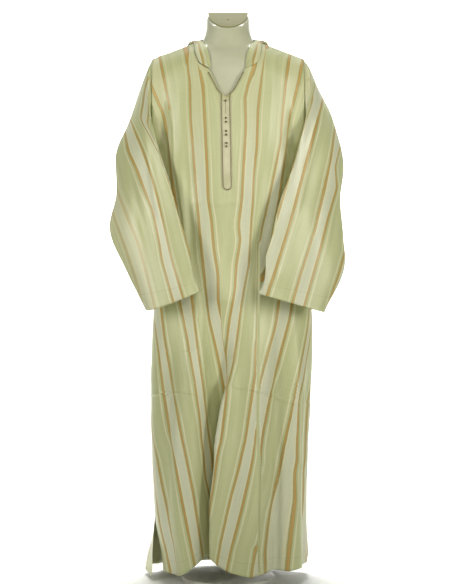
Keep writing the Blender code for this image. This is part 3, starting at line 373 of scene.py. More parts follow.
def through(table, at, column=1):
    """A smooth curve through two columns of a table, read at one or many places."""
    x = np.array([row[0] for row in table], float)
    y = np.array([row[column] for row in table], float)
    slope = np.gradient(y, x)
    at = np.clip(np.asarray(at, float), x[0], x[-1])
    i = np.clip(np.searchsorted(x, at, side="right") - 1, 0, len(x) - 2)
    step = x[i + 1] - x[i]
    t = (at - x[i]) / step
    return ((2 * t**3 - 3 * t**2 + 1) * y[i] + (t**3 - 2 * t**2 + t) * step * slope[i]
            + (3 * t**2 - 2 * t**3) * y[i + 1] + (t**3 - t**2) * step * slope[i + 1])


def straight(table, at, column=1):
    return np.interp(at, [row[0] for row in table], [row[column] for row in table])


def ease(value, low, high):
    t = np.clip((value - low) / (high - low), 0, 1)
    return t * t * (3 - 2 * t)


def reach(points):
    """Length along a line of points, from its first one."""
    return np.concatenate([[0], np.cumsum(np.linalg.norm(np.diff(points, axis=0), axis=1))])


def body(q, z, panel, side):
    """The robe's surface: side is -1 on the front panel and +1 on the back one."""
    q, z = np.broadcast_arrays(np.asarray(q, float), np.asarray(z, float))
    half = np.where(q < 0, through(panel, z, 1), through(panel, z, 2))
    square = 2 / through(panel, z, 4)
    angle = np.abs(q) * math.pi / 2
    x = np.sign(q) * half * np.sin(angle) ** square
    ridge = straight(RIDGE, np.abs(x))
    drop = np.clip((ridge - z) / SHOULDER_ROUND, 0, 1)
    depth = through(panel, z, 3) * np.sqrt(1 - (1 - drop) ** 2)
    up = np.clip((z - UNDERARM) / (ridge - UNDERARM), 0, 1)
    armhole = ARM_DEPTH * 2 * np.sqrt(up * (1 - up)) * ease(np.abs(q), 0.35, 1.0)
    y = armhole + np.maximum(depth - armhole, 0) * np.cos(angle) ** square
    point = np.stack([x, side * y, z], -1)
    edge = 1 - np.abs(q) ** 10
    if side < 0:
        away = q - through(PLEAT, z, 1)
        bump = np.exp(-((away / np.where(away < 0, through(PLEAT, z, 3), through(PLEAT, z, 5))) ** 2))
        inward = through(PLEAT, z, 2) * bump * edge
        point[..., 1] += inward
        point[..., 0] += inward * through(PLEAT, z, 4)
    for low_q, high_q, low, high, fold, width in FRONT_FOLDS if side < 0 else BACK_FOLDS:
        share = np.clip((z - low) / (high - low), 0, 1)
        middle = low_q + (high_q - low_q) * share
        fade = 1 - ease(z, high - 0.3 * (high - low), high)
        if low > 0:
            fade = fade * ease(z, low, low + 0.3 * (high - low))
        depth = fold * fade * edge * np.exp(-(((q - middle) / width) ** 2))
        point[..., 1] -= side * depth * np.cos(angle)
        point[..., 0] -= np.sign(q) * depth * np.sin(angle)
    return point


def below_ridge(x, z):
    """How far down the cloth a height is from the rounded shoulder line above it."""
    drop = straight(RIDGE, np.abs(x)) - z
    turn = np.arccos(1 - np.clip(drop / SHOULDER_ROUND, 0, 1))
    return SHOULDER_ROUND * turn + np.maximum(drop - SHOULDER_ROUND, 0)


def height_at(x, down):
    """The height that lies so far down the cloth from the shoulder line: below_ridge turned round."""
    turn = np.minimum(down / SHOULDER_ROUND, math.pi / 2)
    straight_on = np.maximum(down - SHOULDER_ROUND * math.pi / 2, 0)
    return straight(RIDGE, np.abs(x)) - SHOULDER_ROUND * (1 - np.cos(turn)) - straight_on


def yoke_columns(panel, side, neck, count):
    """Places across the panel along its neckline and shoulder, and those at the yoke below them."""
    half = count // 2
    at_neck = round(half * NECK_SHARE)
    fine = np.linspace(0, NECK_X, 400)
    edge = body(across(fine, np.full_like(fine, YOKE), panel), straight(neck, fine), panel, side)
    length = reach(edge)
    along_neck = np.interp(np.linspace(0, length[-1], at_neck + 1), length, fine)
    top = np.concatenate([along_neck, np.linspace(NECK_X, ARM_X, half - at_neck + 1)[1:]])
    places = []
    for x in (top, np.linspace(0, ARM_X, half + 1)):
        x = np.concatenate([-x[:0:-1], x])
        if side < 0:
            x = x + V_MIDDLE * np.clip(1 - np.abs(x) / NECK_X, 0, 1)
        places.append(across(x, np.full_like(x, YOKE), panel))
    return places


def sleeve_surface(table, sign):
    rows = np.array(table)
    rows = rows * np.array([sign, 1, 1])
    stations = np.linspace(0, 1, len(rows))

    def surface(turn, along):
        turn, along = np.broadcast_arrays(np.asarray(turn, float), np.asarray(along, float))
        corner = np.empty(turn.shape + (4, 3))
        for c in range(4):
            for axis in range(3):
                pairs = list(zip(stations, rows[:, c, axis]))
                corner[..., c, axis] = through(pairs, along)
        far, fore, near, rear = (corner[..., c, :] for c in range(4))
        blunt = (1 - (1 - SLEEVE_EDGE) * ease(along, 0.0, 0.12))[..., None]
        cos, sin = np.cos(turn)[..., None], np.sin(turn)[..., None]
        sin = np.sign(sin) * np.abs(sin) ** blunt
        share = np.sin(turn)[..., None] ** 2
        middle = (1 - share) * (far + near) / 2 + share * (fore + rear) / 2
        return middle + cos * (far - near) / 2 + sin * (fore - rear) / 2

    return surface


def hood_seam(place):
    """The neckline, from the front end (1) over the shoulder (0.5) to the back (0), just outside."""
    place = np.asarray(place, float)
    front = place > 0.5
    x = np.where(front, 0.050 + (NECK_X - 0.050) * np.sin(np.clip(1 - place, 0, 0.5) * math.pi) ** 0.8,
                 NECK_X * np.sin(np.clip(place, 0, 0.5) * math.pi) ** 0.8)
    z = np.where(front, straight(FRONT_NECK, x), straight(BACK_NECK, x))
    q = np.empty_like(x)
    for i, value in np.ndenumerate(x):
        panel = FRONT if front[i] else BACK
        half, square = through(panel, z[i], 1), 2 / through(panel, z[i], 4)
        q[i] = math.asin((value / half) ** (1 / square)) * 2 / math.pi
    at_front = body(q, z, FRONT, -1)
    at_back = body(q, z, BACK, 1)
    return np.where(front[..., None], at_front, at_back)


def over_back(x, fall, gap):
    """Points that stand gap off the robe's back. fall is 0 on the shoulder line, 1 where the
    shoulder's rounding ends, and grows by 1 for each HOOD_UNIT of height below that."""
    ridge = straight(RIDGE, np.abs(x))
    turn = np.clip(fall, 0, 1) * math.pi / 2
    below = np.maximum(fall - 1, 0) * HOOD_UNIT
    z = ridge - SHOULDER_ROUND + (SHOULDER_ROUND + gap) * np.cos(turn) - below
    half, square = through(BACK, z, 1), through(BACK, z, 4)
    deep = through(BACK, z, 3) * (1 - np.clip(np.abs(x) / half, 0, 1) ** square) ** (1 / square)
    return np.stack([x, (deep + gap) * np.sin(turn), z], -1)


def hood_surface(place, along):
    """along runs from the seam (0) through the hanging fold (HOOD_TIP) to the open edge (1)."""
    side = np.where(place < 0, -1.0, 1.0)
    place = np.abs(place)
    edge = np.stack([through(HOOD_EDGE, place, c) for c in (1, 2, 3)], -1)
    rear = np.minimum(place, 0.5)
    seam_x = NECK_X * np.sin(rear * math.pi) ** 0.8
    seam_drop = (straight(RIDGE, seam_x) - straight(BACK_NECK, seam_x)) / SHOULDER_ROUND
    seam_fall = np.arccos(np.clip(1 - seam_drop, -1, 1)) * 2 / math.pi
    share = np.where(along < HOOD_TIP, along / HOOD_TIP, (1 - along) / (1 - HOOD_TIP))
    x = seam_x + (through(HOOD_FALL, rear, 1) - seam_x) * share
    fall = seam_fall + (through(HOOD_FALL, rear, 2) - seam_fall) * share
    full = 0.3 + 0.7 * ease(0.5 - rear, 0, 0.2)
    turned = ease(along, HOOD_TIP - 0.02, HOOD_TIP + 0.02)
    swell = np.sin(math.pi * np.clip(1 - share, 0, 1)) ** 0.8 * ease(0.5 - rear, 0, 0.3)
    gap = HOOD_SEAM_GAP + HOOD_GAP * full * ease(along, 0, 0.10)
    gap = gap + turned * (HOOD_FOLD + HOOD_REACH * swell)
    bag = over_back(x, fall, gap)
    close = ease(along, 0.78, 1.0)[..., None]
    bag = bag * (1 - close) + edge * close
    seam = hood_seam(place) + hood_lift(place)
    band = seam + (edge - seam) * along[..., None]
    width = np.linalg.norm(edge - seam, axis=-1)
    bulge = HOOD_STAND * np.minimum(1, width / 0.030) * np.sin(math.pi * along)
    band = band + np.stack([0.6 * bulge, -0.6 * bulge * ease(place, 0.5, 0.8), bulge], -1)
    front = ease(place, 0.47, 0.60)[..., None]
    point = bag * (1 - front) + band * front
    point[..., 0] *= side
    return clear_of_form(point)


def form_ridge(x):
    """The form's shoulder line: just under the robe's, and lower beside the neck, under the hood."""
    beside_neck = 1 - ease(np.abs(x), NECK_X + 0.012, NECK_X + 0.042)
    return straight(RIDGE, np.abs(x)) - WALL - FORM_GAP - FORM_NECK_DROP * beside_neck


def clear_of_form(point):
    """Moves points of the hood out to just clear of the form's chest and neck."""
    x, z = point[..., 0], point[..., 2]
    half, square = through(FORM, z, 1), FORM_SQUARE
    ridge = form_ridge(x)
    drop = np.clip((ridge - z) / SHOULDER_ROUND, 0, 1)
    chest = through(FORM, z, 2) * np.sqrt(1 - (1 - drop) ** 2)
    chest = chest * (1 - np.clip(np.abs(x) / half, 0, 1) ** square) ** (1 / square) + WALL + HOOD_CLEAR
    chest = np.where(drop > 0, chest, 0)
    point[..., 1] = np.where(point[..., 1] < 0, np.minimum(point[..., 1], -chest), point[..., 1])
    wide = through(NECK_RINGS, z, 1) + WALL + HOOD_CLEAR
    deep = through(NECK_RINGS, z, 2) + WALL + HOOD_CLEAR
    near = np.sqrt((x / wide) ** 2 + (point[..., 1] / deep) ** 2)
    point[..., :2] *= np.where(near < 1, 1 / near, 1.0)[..., None]
    return point


def hood_lift(place):
    """From the neckline to just above the panel's outer side."""
    front = ease(place, 0.55, 0.85)
    rear = 1 - ease(place, 0.25, 0.5)
    lift = WALL + 2 * SEAM
    ahead = -lift * front + lift * rear
    return np.stack([-0.2 * lift * np.ones_like(place), ahead, lift * (1.3 - 0.9 * front)], -1)


def across(x, z, panel):
    """The place across a panel that lies x from its middle, leaving its folds out."""
    half, square = through(panel, z, 1), 2 / through(panel, z, 4)
    share = np.clip(np.abs(x) / half, 0, 1) ** (1 / square)
    return np.sign(x) * np.arcsin(share) * 2 / math.pi


# ---------------------------------------------------------------- folding


def lengths(points):
    """Length along each row of a grid of points, from its first column."""
    steps = np.linalg.norm(np.diff(points, axis=1), axis=2)
    return np.concatenate([np.zeros((len(points), 1)), np.cumsum(steps, axis=1)], 1)


def path_at(path, row):
    """The column of a path that runs down the elevation, carried straight on past its ends."""
    rows = np.array([point[0] for point in path], float)
    columns = np.array([point[1] for point in path], float)
    column = np.interp(row, rows, columns)
    top = (columns[1] - columns[0]) / (rows[1] - rows[0])
    foot = (columns[-1] - columns[-2]) / (rows[-1] - rows[-2])
    column = np.where(row < rows[0], columns[0] + (row - rows[0]) * top, column)
    return np.where(row > rows[-1], columns[-1] + (row - rows[-1]) * foot, column)


def fold_path(folds):
    """The path of a sharp fold's mouth."""
    return [(fold[0], fold[1]) for fold in folds]


def from_path(column, row, path):
    """Distance from a path of columns and rows on the elevation, and the share of it that is nearest."""
    best, share = np.full(column.shape, 1e9), np.zeros(column.shape)
    path = np.array(path, float)
    parts = np.linalg.norm(np.diff(path, axis=0), axis=1)
    done = 0.0
    for start, end, length in zip(path[:-1], path[1:], parts):
        way = (end - start) / length
        at = np.clip((column - start[0]) * way[0] + (row - start[1]) * way[1], 0, length)
        away = np.hypot(column - start[0] - at * way[0], row - start[1] - at * way[1])
        share = np.where(away < best, (done + at) / parts.sum(), share)
        best = np.minimum(best, away)
        done += length
    return best, share


def crease_height(column, row, creases):
    """How far points stand out, in metres, for creases of a path, a height (mm) and a half width.

    A crease fades out at both ends, and a negative height is a trough.
    """
    out = np.zeros(column.shape)
    for height, width, path in creases:
        away, share = from_path(column, row, path)
        fade = np.sin(math.pi * np.clip(share, 0.01, 0.99)) ** 0.5
        out += height * 0.001 * fade * np.exp(-((away / width) ** 2))
    return out


def grid_normals(grid, sign, closed=False):
    """Outward unit normals of a grid."""
    if closed:
        ring = grid[:, :-1]
        across = np.roll(ring, -1, 1) - np.roll(ring, 1, 1)
        across = np.concatenate([across, across[:, :1]], 1)
    else:
        across = np.gradient(grid, axis=1)
    cross = sign * np.cross(across, np.gradient(grid, axis=0))
    return cross / np.maximum(np.linalg.norm(cross, axis=-1, keepdims=True), 1e-12)


def ripple(a, b, waves):
    """Low uneven waves: how often across, how often along, a start and a height in mm for each."""
    out = np.zeros(np.broadcast(a, b).shape)
    for often_a, often_b, start, height in waves:
        out = out + height * 0.001 * np.sin(2 * math.pi * (often_a * a + often_b * b + start))
    return out


# ---------------------------------------------------------------- stripes


def crossings(column, target, last):
    """Where each row of columns passes its target from left to right, as a place along the row."""
    below = column < target
    found = below[:, :-1] & ~below[:, 1:]
    any_found = found.any(1)
    if last:
        at = found.shape[1] - 1 - np.argmax(found[:, ::-1], 1)
    else:
        at = np.argmax(found, 1)
    rows = np.arange(len(at))
    low, high = column[rows, at], column[rows, at + 1]
    share = (target[rows, at] - low) / np.maximum(high - low, 1e-9)
    return np.where(any_found, at + share, np.nan)


def filled(lines, length, base):
    """Where lines lie along the cloth in every row, from its base.

    lines holds one array for each, of the column that it crosses in each row. A row that it doesn't
    cross gets the distance from its neighbour that it has in the nearest row that it does cross.
    """
    rows = np.arange(len(length))
    found = []
    for line in lines:
        low = np.clip(np.nan_to_num(line).astype(int), 0, length.shape[1] - 2)
        found.append(length[rows, low] + (line - low) * (length[rows, low + 1] - length[rows, low]) - base)
    order = sorted(range(len(lines)), key=lambda k: -np.isfinite(found[k]).sum())
    anchor = order[0]
    for k in [*range(anchor, len(lines)), *range(anchor - 1, -1, -1)]:
        next_to = 0 if k == anchor else found[k - 1 if k > anchor else k + 1]
        known = np.isfinite(found[k])
        found[k] = next_to + np.interp(rows, rows[known], (found[k] - next_to)[known])
    kernel = np.hanning(9)[1:-1]
    kernel /= kernel.sum()
    return [np.convolve(np.pad(line, 3, mode="edge"), kernel, "valid") for line in found]


def between(s, controls):
    """Marks at lengths s, evenly between the controls of a row and by the cloth's length beyond them."""
    kept = []
    for at, mark in sorted(controls):
        if not kept or (mark > kept[-1][1] and at > kept[-1][0]):
            kept.append((at, mark))
    reach = np.array([at for at, _ in kept])
    marks = np.array([mark for _, mark in kept]) * 0.001
    value = np.interp(s, reach, marks)
    value = np.where(s < reach[0], marks[0] - (reach[0] - s), value)
    return np.where(s > reach[-1], marks[-1] + (s - reach[-1]), value)


def on_path(column, row, path, last=False):
    """Where each row of points crosses a path, and NaN in rows that the path doesn't reach."""
    at = crossings(column, path_at(path, row), last)
    here = row[np.arange(len(row)), np.clip(np.nan_to_num(at).astype(int), 0, row.shape[1] - 1)]
    return np.where((here > path[0][0] - 6) & (here < path[-1][0] + 6), at, np.nan)


def marks_across(points, length, stripes, folds, valley, sign):
    """Distance from the middle of the front, in metres, at each point of one half of the front.

    Between stripes it changes evenly along the cloth, and beyond them by the cloth's own length.
    """
    column, row = elevation(points)
    if sign > 0:
        part = slice(valley, None)
        column, row, length = column[:, part], row[:, part], length[:, part]
        length = length - length[:, :1]
    else:
        part = slice(valley, None, -1)
        column, row, length = -column[:, part], row[:, part], length[:, part]
        length = length[:, :1] - length
    paths = [[(r, c * sign) for r, c in path] for _, path in stripes]
    lines = filled([on_path(column, row, path, True) for path in paths], length, 0)
    middle = [(f[0], f[1] * sign) for f in folds]
    mouth = []
    for shift in (-FOLD_HALF, FOLD_HALF):
        at = on_path(column, row, [(r, c + shift) for r, c in middle], True)
        known = np.isfinite(at)
        mouth.append(filled([at], length, 0)[0] if known.any() else None)
    fold_rows = [f[0] for f in folds]
    result = np.zeros(points.shape[:2])
    for i in range(len(points)):
        controls = [(line[i], mark) for line, (mark, _) in zip(lines, stripes)]
        here = row[i, 0]
        if folds[0][0] < here < folds[-1][0] + 20:
            sides = [float(np.interp(here, fold_rows, [f[k] for f in folds])) for k in (2, 3)]
            near, far = sides if sign > 0 else sides[::-1]
            if far - near > 4:
                low, high = mouth[0][i], mouth[1][i]
                controls = ([c for c in controls if c[0] < low and c[1] < near] + [(low, near), (high, far)]
                            + [c for c in controls if c[0] > high and c[1] > far])
        result[i, part] = between(length[i], controls)
    return result * sign


def sleeve_marks(points, length, stripes, sign, front):
    """Distance from the middle of a white band, in metres, at each point of a sleeve."""
    column, row = elevation(points[:, front])
    lines = []
    for _, path in stripes:
        lines.append(on_path(-sign * column, row, [(r, -sign * c) for r, c in path]))
    settled = round(len(points) * SLEEVE_SETTLED)
    for line in lines:
        line[:settled] = np.nan
    base = length[:, front][:, 0]
    lines = filled(lines, length[:, front], base)
    result = np.zeros(length.shape)
    for i in range(len(points)):
        controls = [(line[i] + base[i], -sign * mark) for line, (mark, _) in zip(lines, stripes)]
        result[i] = between(length[i], controls)
    return -sign * result


# ---------------------------------------------------------------- the front and the back

SLIT_WRAP = (0.030, -0.045, 0.0)  # how far the back panel's edge turns forward at its slit
PACKED = 0.482         # height of the creases from packing, where a panel's rows are closer
FOLD_HALF = 1.1        # half width of a sharp fold's mouth, in columns
FOLD_LIP = 0.0030      # how far its upper layer stands over the lower one
# Creases of the front: height (mm), half width, and the path over the elevation
FRONT_CREASES = (
    (3.0, 1.0, ((148, 395), (166, 394), (182, 393), (196, 394))),
    (3.2, 1.0, ((222, 383), (240, 388), (257, 391), (274, 397), (292, 403), (311, 405))),
    (1.5, 1.1, ((186, 203), (202, 202), (220, 204), (240, 201))),
    (-11.0, 5.0, ((203, 285), (206, 320), (209, 350), (212, 390), (213, 440))),
    (3.0, 5.0, ((246, 240), (250, 300), (252, 360), (252, 420), (250, 480))),
    (2.5, 5.0, ((226, 340), (229, 400), (224, 460), (219, 520), (216, 566))),
    (-3.0, 5.0, ((238, 330), (239, 400), (236, 470), (232, 540))),
    (-3.0, 4.0, ((285, 330), (284, 380), (281, 440), (278, 520), (277, 570))),
    (3.0, 4.5, ((296, 330), (297, 400), (297, 470), (296, 560))),
    (2.5, 4.0, ((272, 330), (270, 400), (269, 470), (268, 560))),
    (-3.0, 5.0, ((172, 320), (176, 380), (180, 440), (184, 500), (190, 560))),
    (3.0, 5.0, ((186, 320), (190, 380), (194, 440), (198, 500), (202, 548))),
    (2.5, 4.5, ((158, 320), (160, 380), (164, 440), (170, 510), (176, 570))),
    (-1.8, 4.0, ((186, 110), (188, 150), (190, 200), (192, 250))),
    (1.8, 4.0, ((178, 90), (180, 140), (183, 190), (187, 240))),
    (-1.6, 4.0, ((262, 90), (258, 140), (255, 190), (252, 230))),
    (1.8, 4.0, ((272, 80), (268, 130), (263, 180), (260, 230))),
)
SMALL_WAVES = ((5.0, 3.0, 0.1, 0.5), (-3.0, 8.0, 0.4, 0.4), (11.0, 5.0, 0.7, 0.25), (17.0, -9.0, 0.2, 0.15))
BACK_CREASES = (
    (-3.0, 5.0, ((190, 150), (194, 250), (200, 350), (204, 450), (206, 560))),
    (3.0, 5.0, ((214, 140), (216, 250), (218, 350), (220, 450), (222, 560))),
    (-3.0, 5.0, ((250, 150), (252, 260), (254, 370), (256, 480), (258, 560))),
    (3.0, 5.0, ((272, 160), (274, 260), (276, 380), (280, 500), (282, 570))),
    (2.5, 5.0, ((170, 180), (172, 280), (174, 400), (172, 500), (168, 570))),
)


def relief(points, q, side):
    """How far the cloth of a panel stands out from its plain form."""
    column, row = elevation(points)
    if side < 0:
        out = crease_height(column, row, FRONT_CREASES)
        for folds in (RIGHT_FOLD, LEFT_FOLD):
            rows = [f[0] for f in folds]
            hidden = np.abs(np.interp(row, rows, [f[3] - f[2] for f in folds], left=0))
            away = column - path_at(fold_path(folds), row)
            depth = np.minimum(hidden, 60) / 60 * (1 - ease(row, rows[-1] + 5, rows[-1] + 40))
            depth *= ease(q, 0, 0.1) if folds is RIGHT_FOLD else ease(-q, 0.05, 0.1)
            out += FOLD_LIP * depth * ease(away, -1.0, 1.0) * (1 - ease(away, 0, 9))
            out -= 0.4 * FOLD_LIP * depth * ease(away, -7, 0) * (1 - ease(away, -1.0, 1.0))
    else:
        out = crease_height(column, row, BACK_CREASES)
    out += ripple(points[..., 0], points[..., 2], SMALL_WAVES)
    ridge = straight(RIDGE, np.abs(points[..., 0]))
    edge = ease(1 - np.abs(q), 0.0, 0.06)
    return out * edge * (1 - ease(points[..., 2], ridge - 0.05, ridge - 0.012))


def cloth_surface(panel, side):
    """The robe's surface with its creases, as a function of q and z."""
    def plain(q, z):
        return body(q, z, panel, side)

    def surface(q, z):
        point = plain(q, z)
        out = side * normals(plain, q, z)
        return point + out * relief(point, q, side)[..., None]
    return surface


def normals(surface, a, b, step=2e-4):
    """Unit normals of surface(a, b), from small steps to either side."""
    high, low = np.clip(a + step, -1, 1), np.clip(a - step, -1, 1)
    across = surface(high, b) - surface(low, b)
    along = surface(a, b - step) - surface(a, b + step)
    cross = np.cross(across, along)
    return cross / np.maximum(np.linalg.norm(cross, axis=-1, keepdims=True), 1e-12)


def dense_columns(panel, side, z, count):
    """Places across the panel that are evenly spaced along the cloth, and closer at the sharp folds."""
    fine = np.linspace(-1, 1, FINE)
    points = body(fine, np.full_like(fine, z), panel, side)
    steps = np.linalg.norm(np.diff(points, axis=0), axis=1)
    if side < 0:
        column, row = elevation(points[1:])
        for folds in (RIGHT_FOLD, LEFT_FOLD):
            middle = path_at(fold_path(folds), row)
            near = (row > folds[0][0] - 20) & (row < folds[-1][0] + 20)
            steps = steps * (1 + 2 * near * np.exp(-(((column - middle) / 5) ** 2)))
    length = np.concatenate([[0], np.cumsum(steps)])
    middle = float(through(PLEAT, z, 1)) if side < 0 else 0.0
    centre = np.interp(middle, fine, length)
    half = count // 2
    places = np.concatenate([np.linspace(0, centre, half + 1), np.linspace(centre, length[-1], half + 1)[1:]])
    return np.interp(places, length, fine)


def hem_rise(q, hem, panel, side):
    """How far above HEM a panel ends at places across it."""
    return straight(hem, body(q, np.full_like(q, HEM), panel, side)[..., 0])


def panel_grid(panel, side, neck, hem, size):
    """Rows of q and z from the shoulder line and neckline down to the hem."""
    count, rows = size
    top_q, yoke_q = yoke_columns(panel, side, neck, count)
    top_x = body(top_q, np.full_like(top_q, YOKE), panel, side)[:, 0]
    neck_x = np.abs(top_x - (V_MIDDLE * np.clip(1 - np.abs(top_x) / NECK_X, 0, 1) if side < 0 else 0))
    ridge = straight(RIDGE, np.abs(top_x))
    top_z = np.where(neck_x < NECK_X - 1e-6, np.minimum(straight(neck, neck_x), ridge), ridge)
    top_down = below_ridge(top_x, top_z)
    rows_q, rows_z = [], []
    yoke_rows = round(rows * YOKE_SHARE)
    for share in np.linspace(0, 1, yoke_rows + 1):
        q = top_q + (yoke_q - top_q) * share
        x = body(q, np.full_like(q, YOKE), panel, side)[:, 0]
        down = top_down + (below_ridge(x, np.full_like(x, YOKE)) - top_down) * share
        rows_q.append(q)
        rows_z.append(height_at(x, down) if share < 1 else np.full_like(q, YOKE))
    fine = np.linspace(YOKE, HEM, FINE)
    dense = np.cumsum(1 + 2 * np.exp(-(((fine - PACKED) / 0.035) ** 2)))
    for level in np.interp(np.linspace(dense[0], dense[-1], rows - yoke_rows + 1), dense, fine)[1:]:
        even = dense_columns(panel, side, level, count)
        q = even + (yoke_q - even) * ease(level, EVEN_BELOW, YOKE)
        rows_q.append(q)
        rows_z.append(level + hem_rise(q, hem, panel, side) * (1 - ease(level, HEM, HEM + HEM_RISE)))
    return np.array(rows_q), np.array(rows_z)


def panel_points(panel, side, neck, hem, size):
    """A panel's grid of points, and each point's height above the hem."""
    q, z = panel_grid(panel, side, neck, hem, size)
    points = cloth_surface(panel, side)(q, z)
    points[..., 1] += side * SEAM / 2
    if side > 0:
        wrap = ease(-q, 0.8, 1.0) * (1 - ease(z, 0.03, 0.175))
        points += wrap[..., None] * SLIT_WRAP
    return points, z - HEM - hem_rise(q, hem, panel, side) * (1 - ease(z, HEM, HEM + HEM_RISE))


def stripe_map(marks, height):
    """A cloth piece's UV map: how far into the stripes' pattern, and how far above the hem."""
    return np.stack([marks, height], -1)


# ---------------------------------------------------------------- making meshes


def deselect():
    for item in bpy.context.selected_objects:
        item.select_set(False)


def only(item):
    deselect()
    item.select_set(True)
    bpy.context.view_layer.objects.active = item


def modify(item, kind, **settings):
    """Adds one modifier to an object and applies it."""
    only(item)
    modifier = item.modifiers.new(kind.title(), kind)
    for key, value in settings.items():
        setattr(modifier, key, value)
    bpy.ops.object.modifier_apply(modifier=modifier.name)


def merge(item, distance):
    """Merges an object's doubled points."""
    only(item)
    bpy.ops.object.mode_set(mode="EDIT")
    bpy.ops.mesh.select_all(action="SELECT")
    bpy.ops.mesh.remove_doubles(threshold=distance)
    bpy.ops.object.mode_set(mode="OBJECT")


def positions(mesh):
    """The places of a mesh's points, one row each."""
    places = np.empty(len(mesh.vertices) * 3)
    mesh.vertices.foreach_get("co", places)
    return places.reshape(-1, 3)


def cloth(name, points, spread, sign, closed=False, plain=None):
    """A thin sheet of cloth through a grid of points, with its flat coordinates as its UV map.

    sign is 1 where rows run so that across x along points outwards, and -1 where it points inwards.
    plain is how far the stripes give way to plain green at each point.
    """
    rows, columns = points.shape[:2]
    deselect()
    bpy.ops.mesh.primitive_grid_add(x_subdivisions=columns - 1, y_subdivisions=rows - 1, size=2)
    piece = bpy.context.active_object
    piece.name = piece.data.name = name
    mesh = piece.data
    flat = positions(mesh)
    column = np.rint((flat[:, 0] + 1) / 2 * (columns - 1)).astype(int)
    row = np.rint((1 - flat[:, 1]) / 2 * (rows - 1)).astype(int)
    mesh.vertices.foreach_set("co", (points[row, column] + (0, 0, LIFT)).ravel())
    corner = np.empty(len(mesh.loops), int)
    mesh.loops.foreach_get("vertex_index", corner)
    uv = mesh.uv_layers[0]
    uv.name = "Cloth"
    uv.data.foreach_set("uv", spread[row[corner], column[corner]].ravel())
    if sign > 0:
        mesh.flip_normals()
    if plain is not None:
        mesh.attributes.new("Plain", "FLOAT", "POINT").data.foreach_set("value", plain[row, column])
    mesh.update()
    if closed:
        merge(piece, 0.00002)
    modify(piece, "SOLIDIFY", thickness=CLOTH, offset=-1.0, use_even_offset=False)
    only(piece)
    bpy.ops.object.shade_smooth()
    return piece


def dress(piece, made, slot, *nodes):
    """Gives a piece its material and hides the CAD nodes that it stands for. slot is not used."""
    piece.data.materials.clear()
    piece.data.materials.append(made)
    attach(piece, "root")
    if nodes:
        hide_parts(*nodes)
    return piece


def d_section(x, y):
    """A direction's point on a D: an arc round the front, and a straight edge behind."""
    turn = np.arctan2(y, np.abs(x))
    arc = (turn + math.pi / 2) * 2 / 3 - math.pi / 2
    front = turn < math.pi / 4
    wide = np.where(front, np.cos(arc), (math.pi / 2 - turn) / (math.pi / 4))
    return np.sign(x) * wide, np.where(front, 1 + 2 * np.sin(arc), 1.0)


# ---------------------------------------------------------------- materials


def linear(colour):
    """A linear colour from an sRGB hex colour such as #b9bd8c."""
    parts = [int(colour[i:i + 2], 16) / 255 for i in (1, 3, 5)]
    return tuple(c / 12.92 if c <= 0.04045 else ((c + 0.055) / 1.055) ** 2.4 for c in parts)


def node(tree, kind, links=(), **settings):
    """Adds one node, sets its properties and sockets, and links sockets to it."""
    made = tree.nodes.new(kind)
    for key, value in settings.items():
        if hasattr(made, key):
            setattr(made, key, value)
        else:
            made.inputs[key.replace("_", " ")].default_value = value
    for key, source in dict(links).items():
        tree.links.new(source, made.inputs[key])
    return made


def math_node(tree, operation, a, b=None, c=None):
    made = tree.nodes.new("ShaderNodeMath")
    made.operation = operation
    for i, value in enumerate((a, b, c)):
        if value is None:
            continue
        if isinstance(value, (int, float)):
            made.inputs[i].default_value = value
        else:
            tree.links.new(value, made.inputs[i])
    return made.outputs[0]


def mix(tree, share, low, high):
    """Mixes two colours; each may be a colour or a socket."""
    made = tree.nodes.new("ShaderNodeMix")
    made.data_type = "RGBA"
    for key, value in ((0, share), (6, low), (7, high)):
        if isinstance(value, tuple):
            made.inputs[key].default_value = (*value, 1.0)
        elif isinstance(value, (int, float)):
            made.inputs[key].default_value = value
        else:
            tree.links.new(value, made.inputs[key])
    return made.outputs[2]


def noise(tree, vector, scale, detail=2.0, roughness=0.5):
    made = node(tree, "ShaderNodeTexNoise", {"Vector": vector}, Scale=scale, Detail=detail,
                Roughness=roughness)
    return made.outputs["Fac"]


def scaled(tree, vector, x, y, z=1.0):
    made = tree.nodes.new("ShaderNodeVectorMath")
    made.operation = "MULTIPLY"
    tree.links.new(vector, made.inputs[0])
    made.inputs[1].default_value = (x, y, z)
    return made.outputs[0]


def remap(tree, value, low, high, to_low, to_high):
    made = tree.nodes.new("ShaderNodeMapRange")
    tree.links.new(value, made.inputs["Value"])
    for key, number in (("From Min", low), ("From Max", high), ("To Min", to_low), ("To Max", to_high)):
        made.inputs[key].default_value = number
    return made.outputs["Result"]


def blank_material(name):
    made = bpy.data.materials.new(name)
    made.use_nodes = True
    return made, made.node_tree, made.node_tree.nodes["Principled BSDF"]


# The stripes' pattern over one PERIOD: millimetres, and the colour there
BANDS = (
    (0, "green_core"), (14.0, "green"), (20.5, "green"), (22.3, "cream"), (24.4, "cream"), (26.4, "green"),
    (29.4, "green"), (30.9, "gold_edge"), (32.4, "gold"), (35.2, "gold"), (36.8, "gold_edge"),
    (38.4, "cream"), (44, "white"), (58.5, "white"), (64.1, "cream"), (65.4, "gold_edge"), (66.9, "gold"),
    (69.8, "gold"), (71.3, "gold_edge"), (73.0, "green"), (76.3, "green"), (78.1, "cream"),
    (80.0, "cream"), (82.2, "green"), (88.0, "green"), (102.0, "green_core"),
)
FAINT = {"cream": "cream_faint", "white": "white_faint"}
BEFORE_WHITE = 0.034   # from the pattern's start to its first gold stripe


